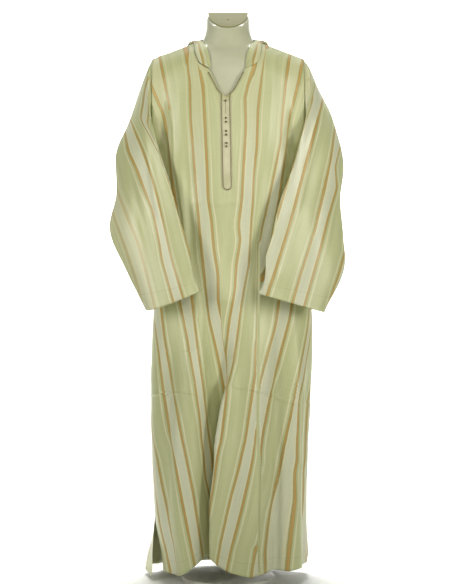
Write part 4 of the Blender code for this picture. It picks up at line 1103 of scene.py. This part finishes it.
def band_ramp(tree, at, choice, change):
    """The colours of BANDS; change gives other colours for some of them."""
    ramp = node(tree, "ShaderNodeValToRGB", {"Fac": at})
    stops = ramp.color_ramp.elements
    while len(stops) < len(BANDS):
        stops.new(1.0)
    for stop, (where, colour) in zip(stops, BANDS):
        stop.position = where * 0.001 / PERIOD
        stop.color = (*linear(getattr(choice, change.get(colour, colour))), 1.0)
    return ramp.outputs["Color"]


def satin(name, choice):
    """Woven satin with satin stripes: long floats in the warp give the vertical sheen and its fine
    streaks, gold stripes stand between green and white bands, each with a cream line a little way
    outside it, broad random patches of painted shade darken the tone towards olive, and the hem shows its
    stitching."""
    made, tree, shader = blank_material(name)

    def calc(operation, *values):
        return math_node(tree, operation, *values)

    def ranged(value, *ends):
        return remap(tree, value, *ends)

    place = node(tree, "ShaderNodeUVMap", uv_map="Cloth").outputs["UV"]
    parts = node(tree, "ShaderNodeSeparateXYZ", {0: place})
    across, up = parts.outputs["X"], parts.outputs["Y"]
    wander = calc("MULTIPLY", calc("SUBTRACT", noise(tree, place, 60.0), 0.5), 0.0014)
    at = calc("ADD", calc("ADD", across, wander), BEFORE_WHITE)
    at = calc("DIVIDE", calc("FLOORED_MODULO", at, PERIOD), PERIOD)
    clear, faint = (band_ramp(tree, at, choice, change) for change in ({}, FAINT))
    pattern = mix(tree, ranged(up, 0.98, 1.16, 0.0, 1.0), clear, faint)
    plain = node(tree, "ShaderNodeAttribute", attribute_name="Plain").outputs["Fac"]
    pattern = mix(tree, plain, pattern, linear(choice.green))
    middle = calc("MULTIPLY", calc("LESS_THAN", across, -0.0490), 0.5)
    pattern = mix(tree, middle, pattern, linear(choice.cream))
    warp = noise(tree, scaled(tree, place, 1500.0, 9.0), 1.0, 3.0, 0.6)
    weft = noise(tree, scaled(tree, place, 40.0, 1100.0), 1.0, 2.0)
    slub = noise(tree, scaled(tree, place, 220.0, 3.0), 1.0, 2.0, 0.6)
    # Painted shade: broad noise patches mix the cloth towards the darker olive shade colour, at random places
    # rather than at the folds.
    broad = noise(tree, node(tree, "ShaderNodeTexCoord").outputs["Object"], 4.0, 2.0)
    cloth_colour = mix(tree, ranged(broad, 0.35, 0.65, 0.0, 0.16), pattern, linear(choice.shade))
    hem = calc("LESS_THAN", calc("ABSOLUTE", calc("SUBTRACT", up, choice.hem_width)), 0.0006)
    dash = calc("GREATER_THAN", calc("FLOORED_MODULO", across, 0.004), 0.0012)
    hem = calc("MULTIPLY", hem, dash)
    cloth_colour = mix(tree, calc("MULTIPLY", hem, 0.45), cloth_colour, linear(choice.gold_edge))
    streak = ranged(warp, 0.3, 0.7, 0.91, 1.07)
    shade = calc("MULTIPLY", streak, ranged(weft, 0.3, 0.7, 0.97, 1.03))
    shade = calc("MULTIPLY", shade, ranged(slub, 0.3, 0.7, 0.96, 1.04))
    tone = tree.nodes.new("ShaderNodeHueSaturation")
    tree.links.new(cloth_colour, tone.inputs["Color"])
    tree.links.new(shade, tone.inputs["Value"])
    tree.links.new(tone.outputs["Color"], shader.inputs["Base Color"])
    tree.links.new(ranged(warp, 0.3, 0.7, 0.44, 0.32), shader.inputs["Roughness"])
    height = calc("ADD", calc("MULTIPLY", warp, 0.6), calc("MULTIPLY", weft, 0.4))
    height = calc("SUBTRACT", height, calc("MULTIPLY", hem, 2.0))
    bump = node(tree, "ShaderNodeBump", {"Height": height}, Strength=0.35, Distance=0.00025)
    tree.links.new(bump.outputs["Normal"], shader.inputs["Normal"])
    for key, value in (("IOR", 1.5), ("Sheen Weight", 0.25), ("Sheen Roughness", 0.4),
                       ("Sheen Tint", (*linear("#f2f0d8"), 1.0))):
        shader.inputs[key].default_value = value
    return made


def grained(name, low, high, cloud, drift, grain=None, bump=(), dull=None, **facts):
    """A material whose tone, relief and gloss follow noises in the object's own coordinates.

    cloud, grain and the first part of dull are noises: scale, or one for each axis, detail and
    roughness. drift is where the cloud runs and the share of the colour high at both ends, bump the
    relief's strength and depth, and the rest of dull where its noise runs and the roughness there.
    """
    made, tree, shader = blank_material(name)
    place = node(tree, "ShaderNodeTexCoord").outputs["Object"]

    def drawn(scale, detail, roughness):
        if isinstance(scale, tuple):
            return noise(tree, scaled(tree, place, *scale), 1.0, detail, roughness)
        return noise(tree, place, scale, detail, roughness)

    tone = mix(tree, remap(tree, drawn(*cloud), *drift), linear(low), linear(high))
    tree.links.new(tone, shader.inputs["Base Color"])
    if grain:
        low_relief = node(tree, "ShaderNodeBump", {"Height": drawn(*grain)}, Strength=bump[0],
                          Distance=bump[1])
        tree.links.new(low_relief.outputs["Normal"], shader.inputs["Normal"])
    if dull:
        tree.links.new(remap(tree, drawn(*dull[0]), *dull[1:]), shader.inputs["Roughness"])
    for key, value in facts.items():
        shader.inputs[key.replace("_", " ")].default_value = value
    return made


def plain_satin(name, choice):
    """The placket's cream satin, cut along the cloth, with a low rib."""
    return grained(name, choice.placket, choice.placket_tone_and_stitch_shade, (30.0, 2.0, 0.5), (0.3, 0.7, 0, 1),
                   ((900.0, 900.0, 30.0), 2.0, 0.5), (0.3, 0.0003), Roughness=0.42, Sheen_Weight=0.2)


def thread(name, colour, deep):
    """Rayon thread: painted shade darkens the hollows between the turns of its twist, where the same noise
    sinks the relief, with a soft gloss.
    """
    turns = ((700.0, 700.0, 1400.0), 2.0, 0.6)
    # The turns' noise sinks the hollows in relief and also paints the deep colour into them as shade.
    return grained(name, deep, colour, turns, (0.35, 0.65, 0, 1), turns, (0.5, 0.0004),
                   Roughness=0.5, Sheen_Weight=0.3)


def moulded_plastic(name, choice):
    """Glossy moulded plastic: faint waves from the mould bend its highlights, and fine dust dulls it."""
    return grained(name, choice.form, choice.form_deep, (9.0, 3.0, 0.5), (0.35, 0.65, 0, 1),
                   (25.0, 1.0, 0.5), (0.2, 0.002), ((400.0, 3.0, 0.7), 0.4, 0.75, 0.16, 0.30),
                   IOR=1.5, Coat_Weight=0.4, Coat_Roughness=0.08)


def vinyl(name, choice):
    """Grained vinyl over the neck's plate: its fine grain scatters the light softly."""
    grain = (700.0, 3.0, 0.6)
    return grained(name, choice.vinyl, "#7d7a4a", grain, (0.3, 0.7, 0, 0.5), grain, (0.3, 0.0003),
                   Roughness=0.5)


def powder_coat(name, choice):
    """Powder-coated steel: a fine orange peel breaks up the reflections, and scuffs dull them."""
    scuff = (60.0, 4.0, 0.7)
    return grained(name, choice.stand, "#b9b7ad", scuff, (0.5, 0.8, 0, 0.5), (900.0, 2.0, 0.5),
                   (0.4, 0.0003), (scuff, 0.3, 0.8, 0.32, 0.48))


def painted(name, colour):
    """Matt painted board with a faint roller texture."""
    return grained(name, colour, "#e4e4e2", (120.0, 3.0, 0.5), (0.3, 0.7, 0, 0.04), Roughness=0.8)


def material(name, make, *facts):
    """The material of that name, made the first time that it is asked for."""
    return bpy.data.materials.get(name) or make(name, *facts)


def striped(context):
    return material("Striped woven satin", satin, context.scene.robe)


def rayon(context):
    return material("Rayon braid", thread, context.scene.robe.braid, context.scene.robe.braid_hollow_shade)


# ---------------------------------------------------------------- what a user may change


def colour_property(name, description, default):
    return bpy.props.StringProperty(name=name, description=description, default=default)


class RobeSettings(bpy.types.PropertyGroup):
    """Sizes and colours of the robe."""

    green: colour_property("Green band", "Colour of the green bands, as sRGB hex", "#bfc295")
    green_core: colour_property("Green band's middle", "Colour of the green bands' middle", "#c5c79b")
    white: colour_property("White band", "Colour of the white bands", "#cfd0b8")
    white_faint: colour_property("White band, high up", "Colour of the white bands on the chest", "#c9c9a2")
    gold: colour_property("Gold stripe", "Colour of the gold stripes", "#bf9856")
    gold_edge: colour_property("Gold stripe's edge", "Colour of the gold stripes' edges", "#99945f")
    cream: colour_property("Cream line", "Colour of the thin lines beside the gold stripes", "#d9d6b4")
    cream_faint: colour_property("Cream line, high up", "Colour of the thin lines on the chest", "#cccaa2")
    # Painted shade: the darker olive that broad random patches of the satin are mixed towards.
    shade: colour_property("Drift", "Colour towards which the cloth's tone drifts", "#9aa06a")
    placket: colour_property("Placket", "Colour of the placket", "#cfcbac")
    # Besides the placket's second tone, this is the painted shade in the hollows of the cream stitches'
    # thread.
    placket_tone_and_stitch_shade: colour_property("Placket, shaded", "Second tone of the placket", "#bdb995")
    braid: colour_property("Braid", "Colour of the braid, the knots and the stitching", "#8a7345")
    # Painted shade: the dark colour painted into the hollows of the braid's thread.
    braid_hollow_shade: colour_property("Braid, shaded", "Colour in the braid's hollows", "#4c3a1a")
    form: colour_property("Form", "Colour of the dress form", "#c9c9b3")
    form_deep: colour_property("Form, shaded", "Second tone of the dress form", "#bebea4")
    vinyl: colour_property("Neck plate", "Colour of the plate on the neck", "#8e8b58")
    stand: colour_property("Stand", "Colour of the base and the pole", "#d9d8d2")
    hem_width: bpy.props.FloatProperty(name="Hem", description="Height of the hem's stitching",
                                       default=0.034, min=0.01, max=0.08, unit="LENGTH")
    stitch: bpy.props.FloatProperty(name="Stitch", description="Length of one chain stitch",
                                    default=0.0052, min=0.002, max=0.01, unit="LENGTH")


class StudioSettings(bpy.types.PropertyGroup):
    """The floor, the light and the camera."""

    key: bpy.props.FloatProperty(name="Key light", description="Power of each soft box", default=4.6, min=0)
    fill: bpy.props.FloatProperty(name="Fill", description="Strength of the light from all round",
                                  default=0.11, min=0)
    backdrop: bpy.props.FloatProperty(name="Backdrop light", description="Power of the light on the backdrop",
                                      default=120.0, min=0)
    lens: bpy.props.FloatProperty(name="Lens", description="Focal length", default=87.0, min=20, max=200)


class RobeOperator(bpy.types.Operator):
    bl_options = {"REGISTER", "UNDO"}


class ROBE_OT_front(RobeOperator):
    """Front panel: two layers of cloth that meet in a deep pleat"""

    bl_idname = "robe.front"
    bl_label = "Front panel"

    def execute(self, context):
        points, height = panel_points(FRONT, -1, FRONT_NECK, FRONT_HEM, FRONT_SIZE)
        length = lengths(points)
        valley = FRONT_SIZE[0] // 2
        marks = marks_across(points, length, LEFT_STRIPES, LEFT_FOLD, valley, -1)
        right = marks_across(points, length, RIGHT_STRIPES, RIGHT_FOLD, valley, 1)
        marks[:, valley:] = right[:, valley:]
        column, row = elevation(points)
        mouth = np.zeros(marks.shape)
        for folds in (RIGHT_FOLD, LEFT_FOLD):
            hidden = np.interp(row, [f[0] for f in folds], [abs(f[3] - f[2]) for f in folds],
                               left=0, right=0)
            away = np.abs(column - path_at(fold_path(folds), row))
            mouth = np.maximum(mouth, (hidden > 8) * (1 - ease(away, 1.0, 1.7)))
        piece = cloth("robe_front", points, stripe_map(np.abs(marks) - FIRST, height), -1, plain=mouth)
        dress(piece, striped(context), "satin", "front")
        made = rayon(context)
        for name, mark, low, high in (("gore", 0.288, 100, 268), ("side", 0.357, 205, 268)):
            rows = zip(points[low:high], marks[low:high, valley:])
            line = [self.at_mark(row, value, mark) for row, value in rows]
            line = along_line(np.array([point for point in line if point is not None]), SEAM_STEP)
            out = np.repeat([[0.25, -0.97, 0.0]], len(line), 0)
            stitch_row(f"seam_stitches_{name}", line + out * 0.0006, out, SEAM_BEAD, made, "braid")
        return {"FINISHED"}

    def at_mark(self, row, value, mark):
        """The point of a row's right half that lies at a mark, or None."""
        at = np.argmax(value >= mark)
        if not 0 < at or value[at] <= value[at - 1]:
            return None
        share = (mark - value[at - 1]) / (value[at] - value[at - 1])
        start = len(row) - len(value)
        return row[start + at - 1] * (1 - share) + row[start + at] * share


class ROBE_OT_back(RobeOperator):
    """Back panel: one layer of cloth that hangs in soft folds"""

    bl_idname = "robe.back"
    bl_label = "Back panel"

    def execute(self, context):
        points, height = panel_points(BACK, 1, BACK_NECK, BACK_HEM, BACK_SIZE)
        length = lengths(points)
        marks = length - length[:, BACK_SIZE[0] // 2][:, None]
        piece = cloth("robe_back", points, stripe_map(np.abs(marks) - FIRST, height), 1)
        dress(piece, striped(context), "satin", "back")
        return {"FINISHED"}


SLEEVE_CREASES = (
    (0.9, 1.2, ((134, 275), (150, 265), (171, 254))),
    (-2.2, 3.0, ((150, 90), (158, 130), (166, 165), (174, 190))),
    (2.2, 3.5, ((140, 100), (146, 140), (152, 175), (160, 220))),
    (-2.0, 4.0, ((128, 160), (136, 200), (146, 240), (152, 280))),
    (2.0, 4.0, ((152, 190), (164, 225), (174, 260), (184, 290))),
    (-2.2, 3.0, ((306, 85), (299, 130), (292, 170), (284, 200))),
    (2.2, 3.5, ((318, 100), (312, 140), (304, 180), (296, 220))),
    (-2.0, 4.0, ((332, 150), (322, 200), (310, 250), (300, 285))),
    (2.0, 4.0, ((300, 190), (290, 225), (280, 260), (270, 290))),
)


def sleeve_points(table, sign):
    """A sleeve's grid of points, which starts and ends at its seam under the arm."""
    around, rows = SLEEVE_SIZE
    surface = sleeve_surface(table, sign)
    sides = around // 2
    rings = []
    for along in np.linspace(0, 1, rows):
        outside, front = (math.radians(straight(SLEEVE_EDGES, along, c)) for c in (1, 2))
        turns = []
        for low, high in ((outside - 2 * math.pi, front), (front, outside)):
            fine = np.linspace(low, high, FINE)
            length = reach(surface(fine, along))
            turns.append(np.interp(np.linspace(0, length[-1], sides + 1)[:-1], length, fine))
        front_side, hidden = turns
        middle = sides // 2
        order = np.concatenate([hidden[middle:] - 2 * math.pi, front_side, hidden[:middle + 1]])
        rings.append(surface(order, along))
    points = np.array(rings)
    front = slice(sides - middle, 2 * sides - middle + 1)
    column, row = elevation(points)
    out = crease_height(column, row, SLEEVE_CREASES)
    out += ripple(points[..., 0] + points[..., 1], points[..., 2], SMALL_WAVES)
    out *= ease(np.linspace(0, 1, rows), 0.0, 0.08)[:, None]
    out[:, -1] = out[:, 0]
    points += grid_normals(points, sign, closed=True) * out[..., None]
    return points, front


class ROBE_OT_sleeves(RobeOperator):
    """Two wide sleeves that fall flat and empty"""

    bl_idname = "robe.sleeves"
    bl_label = "Sleeves"

    def execute(self, context):
        made = striped(context)
        for side, table, sign, stripes in (("left", LEFT_SLEEVE, -1, LEFT_SLEEVE_STRIPES),
                                           ("right", RIGHT_SLEEVE, 1, RIGHT_SLEEVE_STRIPES)):
            points, front = sleeve_points(table, sign)
            marks = sleeve_marks(points, lengths(points), stripes, sign, front)
            fall = np.linalg.norm(np.diff(points, axis=0), axis=2).mean(1)
            down = np.concatenate([[0], np.cumsum(fall)])
            fade = 1 - ease(np.linspace(0, 1, len(points)), 0.05, 0.13)
            height, plain = (np.repeat(row[:, None], points.shape[1], 1) for row in (down[-1] - down, fade))
            spread = stripe_map(marks + BAND / 2, height)
            piece = cloth(f"robe_sleeve_{side}", points, spread, sign, True, plain)
            dress(piece, made, "satin", f"sleeve_{side}")
        return {"FINISHED"}


class ROBE_OT_hood(RobeOperator):
    """The hood, let down over the back"""

    bl_idname = "robe.hood"
    bl_label = "Hood"

    def execute(self, context):
        count, rows = HOOD_SIZE
        place, along = np.meshgrid(np.linspace(-1, 1, count + 1), np.linspace(0, 1, rows + 1))
        points = hood_surface(place, along)
        out = ripple(points[..., 0], points[..., 2] * 2, SMALL_WAVES)
        out *= ease(along, 0.05, 0.2) * (1 - ease(along, 0.85, 1.0)) * (1 - ease(np.abs(place), 0.5, 0.6))
        points += grid_normals(points, -1) * out[..., None]
        steps = np.linalg.norm(np.diff(points, axis=0), axis=2)
        away = np.concatenate([np.cumsum(steps[::-1], axis=0)[::-1], np.zeros((1, count + 1))])
        marks = away - HOOD_STRIPE
        piece = cloth("robe_hood", points, stripe_map(marks, 1.0 + lengths(points)), -1)
        dress(piece, striped(context), "satin", "hood")
        return {"FINISHED"}


def on_front(x, z, lift):
    """Points over the front panel and its creases, moved out by lift."""
    q = across(x, z, FRONT)
    surface = cloth_surface(FRONT, -1)
    out = normals(surface, q, z)
    out *= np.where(out[..., 1:2] > 0, -1.0, 1.0)
    point = surface(q, z)
    point[..., 1] -= SEAM / 2
    return point + out * lift


class ROBE_OT_placket(RobeOperator):
    """The placket: a long narrow strip with a rounded end"""

    bl_idname = "robe.placket"
    bl_label = "Placket"

    def execute(self, context):
        end = PLACKET_END + PLACKET_HALF
        turn = np.linspace(0, math.pi / 2, 16)[1:] * 0.98
        z = np.concatenate([np.linspace(PLACKET_TOP, end, 90), end - PLACKET_HALF * np.sin(turn)])
        half = PLACKET_HALF * np.sqrt(1 - (np.clip(end - z, 0, 1) / PLACKET_HALF) ** 2)
        share = np.linspace(-1, 1, 17)
        x = straight(PLACKET_MIDDLE, z)[:, None] + half[:, None] * share
        height = np.repeat(z[:, None], 17, 1)
        rounded = TRIM_LIFT + TRIM_WALL * (1 - 0.5 * np.abs(share) ** 6)
        points = on_front(x, height, rounded[None, :, None])
        piece = cloth("robe_placket", points, np.stack([x, height], -1), -1)
        dress(piece, material("Cream satin", plain_satin, context.scene.robe), "satin", "placket")
        return {"FINISHED"}


def stitch_row(name, points, out, size, made, slot, *nodes):
    """A row of chain stitches: one small loop of thread, copied along a line of points."""
    deselect()
    bpy.ops.mesh.primitive_uv_sphere_add(segments=8, ring_count=5, radius=0.5, location=(0, 0, 0))
    bead = bpy.context.active_object
    bead.name = bead.data.name = name
    shape = positions(bead.data)
    faces = [tuple(face.vertices) for face in bead.data.polygons]
    along = np.gradient(points, axis=0)
    along /= np.linalg.norm(along, axis=1, keepdims=True)
    side = np.cross(along, out)
    side /= np.linalg.norm(side, axis=1, keepdims=True)
    up = np.cross(side, along)
    width, height, length = size
    verts, every = [], []
    for i in range(len(points)):
        placed = (points[i] + shape[:, :1] * side[i] * width + shape[:, 1:2] * up[i] * height
                  + shape[:, 2:] * along[i] * length)
        every += [tuple(v + len(shape) * i for v in face) for face in faces]
        verts.append(placed + (0, 0, LIFT))
    bead.data.clear_geometry()
    bead.data.from_pydata(np.concatenate(verts).tolist(), [], every)
    bead.data.update()
    only(bead)
    bpy.ops.object.shade_smooth()
    return dress(bead, made, slot, *nodes)


def along_line(points, spacing):
    """Points at even spacing along a line of points."""
    length = reach(points)
    count = max(2, round(length[-1] / spacing))
    at = (np.arange(count) + 0.5) / count * length[-1]
    return np.stack([np.interp(at, length, points[:, axis]) for axis in range(3)], -1)


def front_line(x, z, lift, spacing):
    """Evenly spaced points on a line over the front, and the directions out of the cloth there."""
    lift = np.broadcast_to(lift, x.shape)[:, None]
    line = along_line(on_front(x, z, lift), spacing)
    out = on_front(line[:, 0], line[:, 2], 0.001) - on_front(line[:, 0], line[:, 2], 0.0)
    return line, out / np.linalg.norm(out, axis=1, keepdims=True)


class ROBE_OT_braid(RobeOperator):
    """Braid along the opening, chain stitches round the placket, and the knot buttons"""

    bl_idname = "robe.braid"
    bl_label = "Braid and knots"

    def execute(self, context):
        made = rayon(context)
        look = context.scene.robe
        # The cream stitches' thread takes the placket's second tone as painted shade in its hollows.
        pale = material("Cream rayon thread", thread, look.cream, look.placket_tone_and_stitch_shade)
        stitch = look.stitch
        inset = PLACKET_HALF - 0.0024
        end = PLACKET_END + PLACKET_HALF
        turn = np.linspace(0, math.pi / 2, 12)[1:]
        z = np.concatenate([np.linspace(BRAID_TOP, end, OPENING_ROWS), end - inset * np.sin(turn)])
        round_off = np.concatenate([np.ones(OPENING_ROWS), np.cos(turn)])
        edge = np.interp(z, [row[1] for row in FRONT_NECK[:4]], [row[0] for row in FRONT_NECK[:4]])
        middle = straight(PLACKET_MIDDLE + ((1.240, V_MIDDLE),), z)
        lift = np.where(z < PLACKET_TOP, TRIM_LIFT + TRIM_WALL + 0.0005, TRIM_LIFT + 0.0009)
        for side, sign in (("left", -1), ("right", 1)):
            x = middle + sign * np.maximum(edge + 0.0030, inset) * round_off
            points, out = front_line(x, z, lift, stitch)
            stitch_row(f"braid_{side}", points, out, BRAID_BEAD, made, "braid", f"braid_{side}")
            x = middle + sign * (np.maximum(edge + 0.0030, inset) + 0.0038) * round_off
            points, out = front_line(x[:OPENING_ROWS], z[:OPENING_ROWS], 0.0008, stitch * 0.8)
            stitch_row(f"cream_stitches_{side}", points, out, CREAM_BEAD, pale, "braid")
        z = np.linspace(1.2145, 1.180, 20)
        points, out = front_line(straight(PLACKET_MIDDLE, z), z, TRIM_LIFT + TRIM_WALL + 0.0002, 0.0030)
        stitch_row("slit_stitches", points, out, SLIT_BEAD, made, "braid")
        for number, height in enumerate(KNOT_HEIGHTS, 1):
            self.knot(number, height, made)
        return {"FINISHED"}

    def knot(self, number, height, made):
        """A ball knot: one cord wound over and under itself round a small core."""
        x = np.array([straight(PLACKET_MIDDLE, height)])
        lift = TRIM_LIFT + TRIM_WALL + SEAM + KNOT_RADIUS * KNOT_FLATNESS
        centre = on_front(x, np.array([height]), lift)[0] + (0, 0, LIFT)
        turn = np.linspace(0, 2 * math.pi, 120, endpoint=False)
        tall = math.pi / 2 * 0.8 * np.sin(3 * turn)
        radius = KNOT_RADIUS - 0.0008
        wound = np.stack([np.cos(2 * turn + tall * 0.3) * np.cos(tall),
                          np.sin(tall), np.sin(2 * turn) * np.cos(tall)], -1)
        wound = wound * (radius, radius * KNOT_FLATNESS, radius)
        deselect()
        curve = bpy.data.curves.new(f"knot_{number}", "CURVE")
        curve.dimensions = "3D"
        curve.bevel_depth = 0.0008
        curve.bevel_resolution = 1
        spline = curve.splines.new("POLY")
        spline.points.add(len(wound) - 1)
        for point, place in zip(spline.points, wound + centre):
            point.co = (*place, 1)
        spline.use_cyclic_u = True
        cord = bpy.data.objects.new(f"knot_cord_{number}", curve)
        bpy.context.collection.objects.link(cord)
        only(cord)
        bpy.ops.object.convert(target="MESH")
        cord = bpy.context.active_object
        dress(cord, made, "braid", f"knot_{number}")
        bpy.ops.object.shade_smooth()
        bpy.ops.mesh.primitive_uv_sphere_add(segments=12, ring_count=8, radius=radius * 0.96, location=centre)
        core = bpy.context.active_object
        core.name = core.data.name = f"knot_core_{number}"
        bpy.ops.transform.resize(value=(1, KNOT_FLATNESS, 1), center_override=tuple(centre))
        bpy.ops.object.transform_apply(location=True, rotation=True, scale=True)
        bpy.ops.object.shade_smooth()
        dress(core, made, "braid")


class ROBE_OT_form(RobeOperator):
    """The dress form: torso and neck in one smooth moulding, and the plate on the neck"""

    bl_idname = "robe.form"
    bl_label = "Form"

    def execute(self, context):
        source = bpy.data.objects["form"]
        made = material("Glossy moulded plastic", moulded_plastic, context.scene.robe)
        deselect()
        torso = source.copy()
        torso.data = source.data.copy()
        torso.name = torso.data.name = "dress_form"
        for key in list(torso.keys()):
            del torso[key]
        torso.hide_render = False
        bpy.context.collection.objects.link(torso)
        merge(torso, 0.00001)
        modify(torso, "REMESH", mode="VOXEL", voxel_size=0.0045, adaptivity=0.0)
        modify(torso, "SMOOTH", factor=0.5, iterations=14)
        shape = positions(torso.data)
        height = shape[:, 2] - LIFT
        share = ease(height, 1.375, 1.430)
        wide, deep = (through(NECK_RINGS, height, column) for column in (1, 2))
        reach = np.hypot(shape[:, 0] / wide, shape[:, 1] / deep)
        x, y = d_section(shape[:, 0] / wide, shape[:, 1] / deep)
        wide = wide * straight(NECK_SPREAD, height)
        shape[:, 0] += share * (x * reach * wide - shape[:, 0])
        shape[:, 1] += share * (y * reach * deep - shape[:, 1])
        torso.data.vertices.foreach_set("co", shape.ravel())
        torso.data.update()
        tilt = (NECK_SLANT, 0, 0)
        out = np.array([0, -math.sin(NECK_SLANT), math.cos(NECK_SLANT)])
        rim = np.array([0, 0, NECK_TOP - NECK_RINGS[-1][2] * math.tan(NECK_SLANT) + LIFT]) - out * NECK_CUT
        bpy.ops.mesh.primitive_cube_add(size=0.3, location=rim + out * 0.15, rotation=tilt)
        cutter = bpy.context.active_object
        modify(torso, "BOOLEAN", operation="DIFFERENCE", object=cutter)
        bpy.data.objects.remove(cutter)
        only(torso)
        bpy.ops.object.shade_smooth()
        torso.data.set_sharp_from_angle(angle=math.radians(50))
        dress(torso, made, "form", "form")
        self.plate(context, rim, out, tilt)
        return {"FINISHED"}

    def plate(self, context, rim, out, tilt):
        """The plate on the neck: straight along its back edge, with one screw hole."""
        deselect()
        bpy.ops.mesh.primitive_cylinder_add(vertices=96, radius=1, depth=PLATE, location=(0, 0, 0))
        plate = bpy.context.active_object
        plate.name = plate.data.name = "neck_plate"
        wide, deep = NECK_RINGS[-1][1] - 0.0008, NECK_RINGS[-1][2] / math.cos(NECK_SLANT) - 0.0008
        for point in plate.data.vertices:
            x, y = d_section(point.co.x, point.co.y)
            point.co.x, point.co.y = float(x) * wide, float(y) * deep
        modify(plate, "BEVEL", width=0.0007, segments=2, limit_method="ANGLE")
        bpy.ops.mesh.primitive_cylinder_add(vertices=24, radius=0.0026, depth=0.02, location=(0, 0, 0))
        cutter = bpy.context.active_object
        modify(plate, "BOOLEAN", operation="DIFFERENCE", object=cutter)
        bpy.data.objects.remove(cutter)
        only(plate)
        plate.rotation_euler = tilt
        plate.location = rim + out * (PLATE / 2 + 0.0001)
        bpy.ops.object.transform_apply(location=True, rotation=True, scale=True)
        bpy.ops.object.shade_smooth()
        plate.data.set_sharp_from_angle(angle=math.radians(35))
        dress(plate, material("Olive vinyl", vinyl, context.scene.robe), "form", "neck_cap")


class ROBE_OT_stand(RobeOperator):
    """Finish of the base and the pole"""

    bl_idname = "robe.stand"
    bl_label = "Stand"

    def execute(self, context):
        made = material("Powder-coated steel", powder_coat, context.scene.robe)
        for name in ("base", "pole"):
            for slot in bpy.data.objects[name].material_slots:
                slot.material = made
        return {"FINISHED"}


class ROBE_OT_studio(RobeOperator):
    """A plain white floor and backdrop, soft boxes and the camera"""

    bl_idname = "robe.studio"
    bl_label = "Studio"

    def execute(self, context):
        settings = context.scene.studio
        board = material("Painted board", painted, "#fbfbfa")
        deselect()
        bpy.ops.mesh.primitive_plane_add(size=1, location=(0, 0, 0))
        floor = bpy.context.active_object
        floor.name = floor.data.name = "floor"
        mesh = floor.data
        profile = [(-5.0, 0.0), (2.4, 0.0)]
        profile += [(2.4 + 1.2 * math.sin(a), 1.2 - 1.2 * math.cos(a))
                    for a in np.linspace(0, math.pi / 2, 13)[1:]]
        profile.append((3.6, 6.0))
        verts = [(x, y, z) for y, z in profile for x in (-6.0, 6.0)]
        mesh.clear_geometry()
        starts = range(0, len(verts) - 2, 2)
        mesh.from_pydata(verts, [], [(i, i + 1, i + 3, i + 2) for i in starts])
        mesh.update()
        mesh.materials.append(board)
        only(floor)
        bpy.ops.object.shade_smooth()
        floor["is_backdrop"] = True
        key, back = settings.key, settings.backdrop
        warm, white = (1.0, 0.965, 0.86), (1.0, 1.0, 1.0)
        # name, place, turn in degrees, size, spread in degrees, power and colour
        for name, place, turn, size, spread, power, colour in (
                ("soft box left", (-2.9, -2.45, 1.6), (82, 0, -50), (0.7, 1.8), 40, key * 0.68, warm),
                ("soft box right", (2.9, -2.45, 1.6), (82, 0, 50), (0.7, 1.8), 40, key * 0.8, warm),
                ("front light", (0.5, -4.2, 1.9), (79, 0, 7), (2.2, 2.2), 34, key * 0.93, warm),
                ("strip left", (-2.9, -2.45, 2.6), (73, 0, -50), (0.35, 1.4), 60, key * 0.6, white),
                ("strip right", (2.9, -2.45, 2.6), (73, 0, 50), (0.35, 1.4), 60, key * 0.5, white),
                ("backdrop light", (0.0, 1.6, 1.9), (74, 0, 0), (2.4, 1.6), 150, back, white),
                ("floor light", (0.0, 0.9, 2.5), (20, 0, 0), (1.2, 1.2), 110, back * 0.5, white)):
            bpy.ops.object.light_add(type="AREA", location=place,
                                     rotation=tuple(math.radians(a) for a in turn))
            light = bpy.context.active_object
            light.name = light.data.name = name
            light.data.shape = "RECTANGLE"
            light.data.size, light.data.size_y = size
            light.data.energy = power
            light.data.spread = math.radians(spread)
            light.data.color = colour
        world = bpy.data.worlds.get("Studio") or bpy.data.worlds.new("Studio")
        world.use_nodes = True
        around = world.node_tree.nodes["Background"].inputs
        around["Color"].default_value = (0.84, 1.0, 0.68, 1)
        around["Strength"].default_value = settings.fill
        context.scene.world = world
        bpy.ops.object.camera_add(location=EYE, rotation=(math.pi / 2, 0, 0))
        camera = bpy.context.active_object
        camera.name = "camera"
        camera.data.sensor_fit = "VERTICAL"
        camera.data.sensor_height = 36.0
        camera.data.lens = settings.lens
        camera.data.dof.use_dof = False
        context.scene.camera = camera
        context.scene.view_settings.view_transform = "Standard"
        return {"FINISHED"}


MAKERS = (ROBE_OT_studio, ROBE_OT_front, ROBE_OT_back, ROBE_OT_sleeves, ROBE_OT_hood, ROBE_OT_placket,
          ROBE_OT_braid, ROBE_OT_form, ROBE_OT_stand)


class ROBE_PT_panel(bpy.types.Panel):
    """The robe's pieces, in the order in which they are made"""

    bl_idname = "ROBE_PT_panel"
    bl_label = "Robe"
    bl_space_type = "VIEW_3D"
    bl_region_type = "UI"
    bl_category = "Robe"

    def draw(self, context):
        for settings in (context.scene.robe, context.scene.studio):
            for key in settings.__annotations__:
                self.layout.prop(settings, key)
        for maker in MAKERS:
            self.layout.operator(maker.bl_idname)


CLASSES = (RobeSettings, StudioSettings, *MAKERS, ROBE_PT_panel)


def register():
    for item in CLASSES:
        bpy.utils.register_class(item)
    bpy.types.Scene.robe = bpy.props.PointerProperty(type=RobeSettings)
    bpy.types.Scene.studio = bpy.props.PointerProperty(type=StudioSettings)


def unregister():
    del bpy.types.Scene.robe
    del bpy.types.Scene.studio
    for item in reversed(CLASSES):
        bpy.utils.unregister_class(item)


def plain(box):
    return [[float(value) for value in corner] for corner in box]


def main():
    register()
    for maker in MAKERS:
        group, name = maker.bl_idname.split(".")
        getattr(getattr(bpy.ops, group), name)()
    {"cad": plain(CAD_BOX), "visual": plain(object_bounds())}


if __name__ == "__main__":
    main()
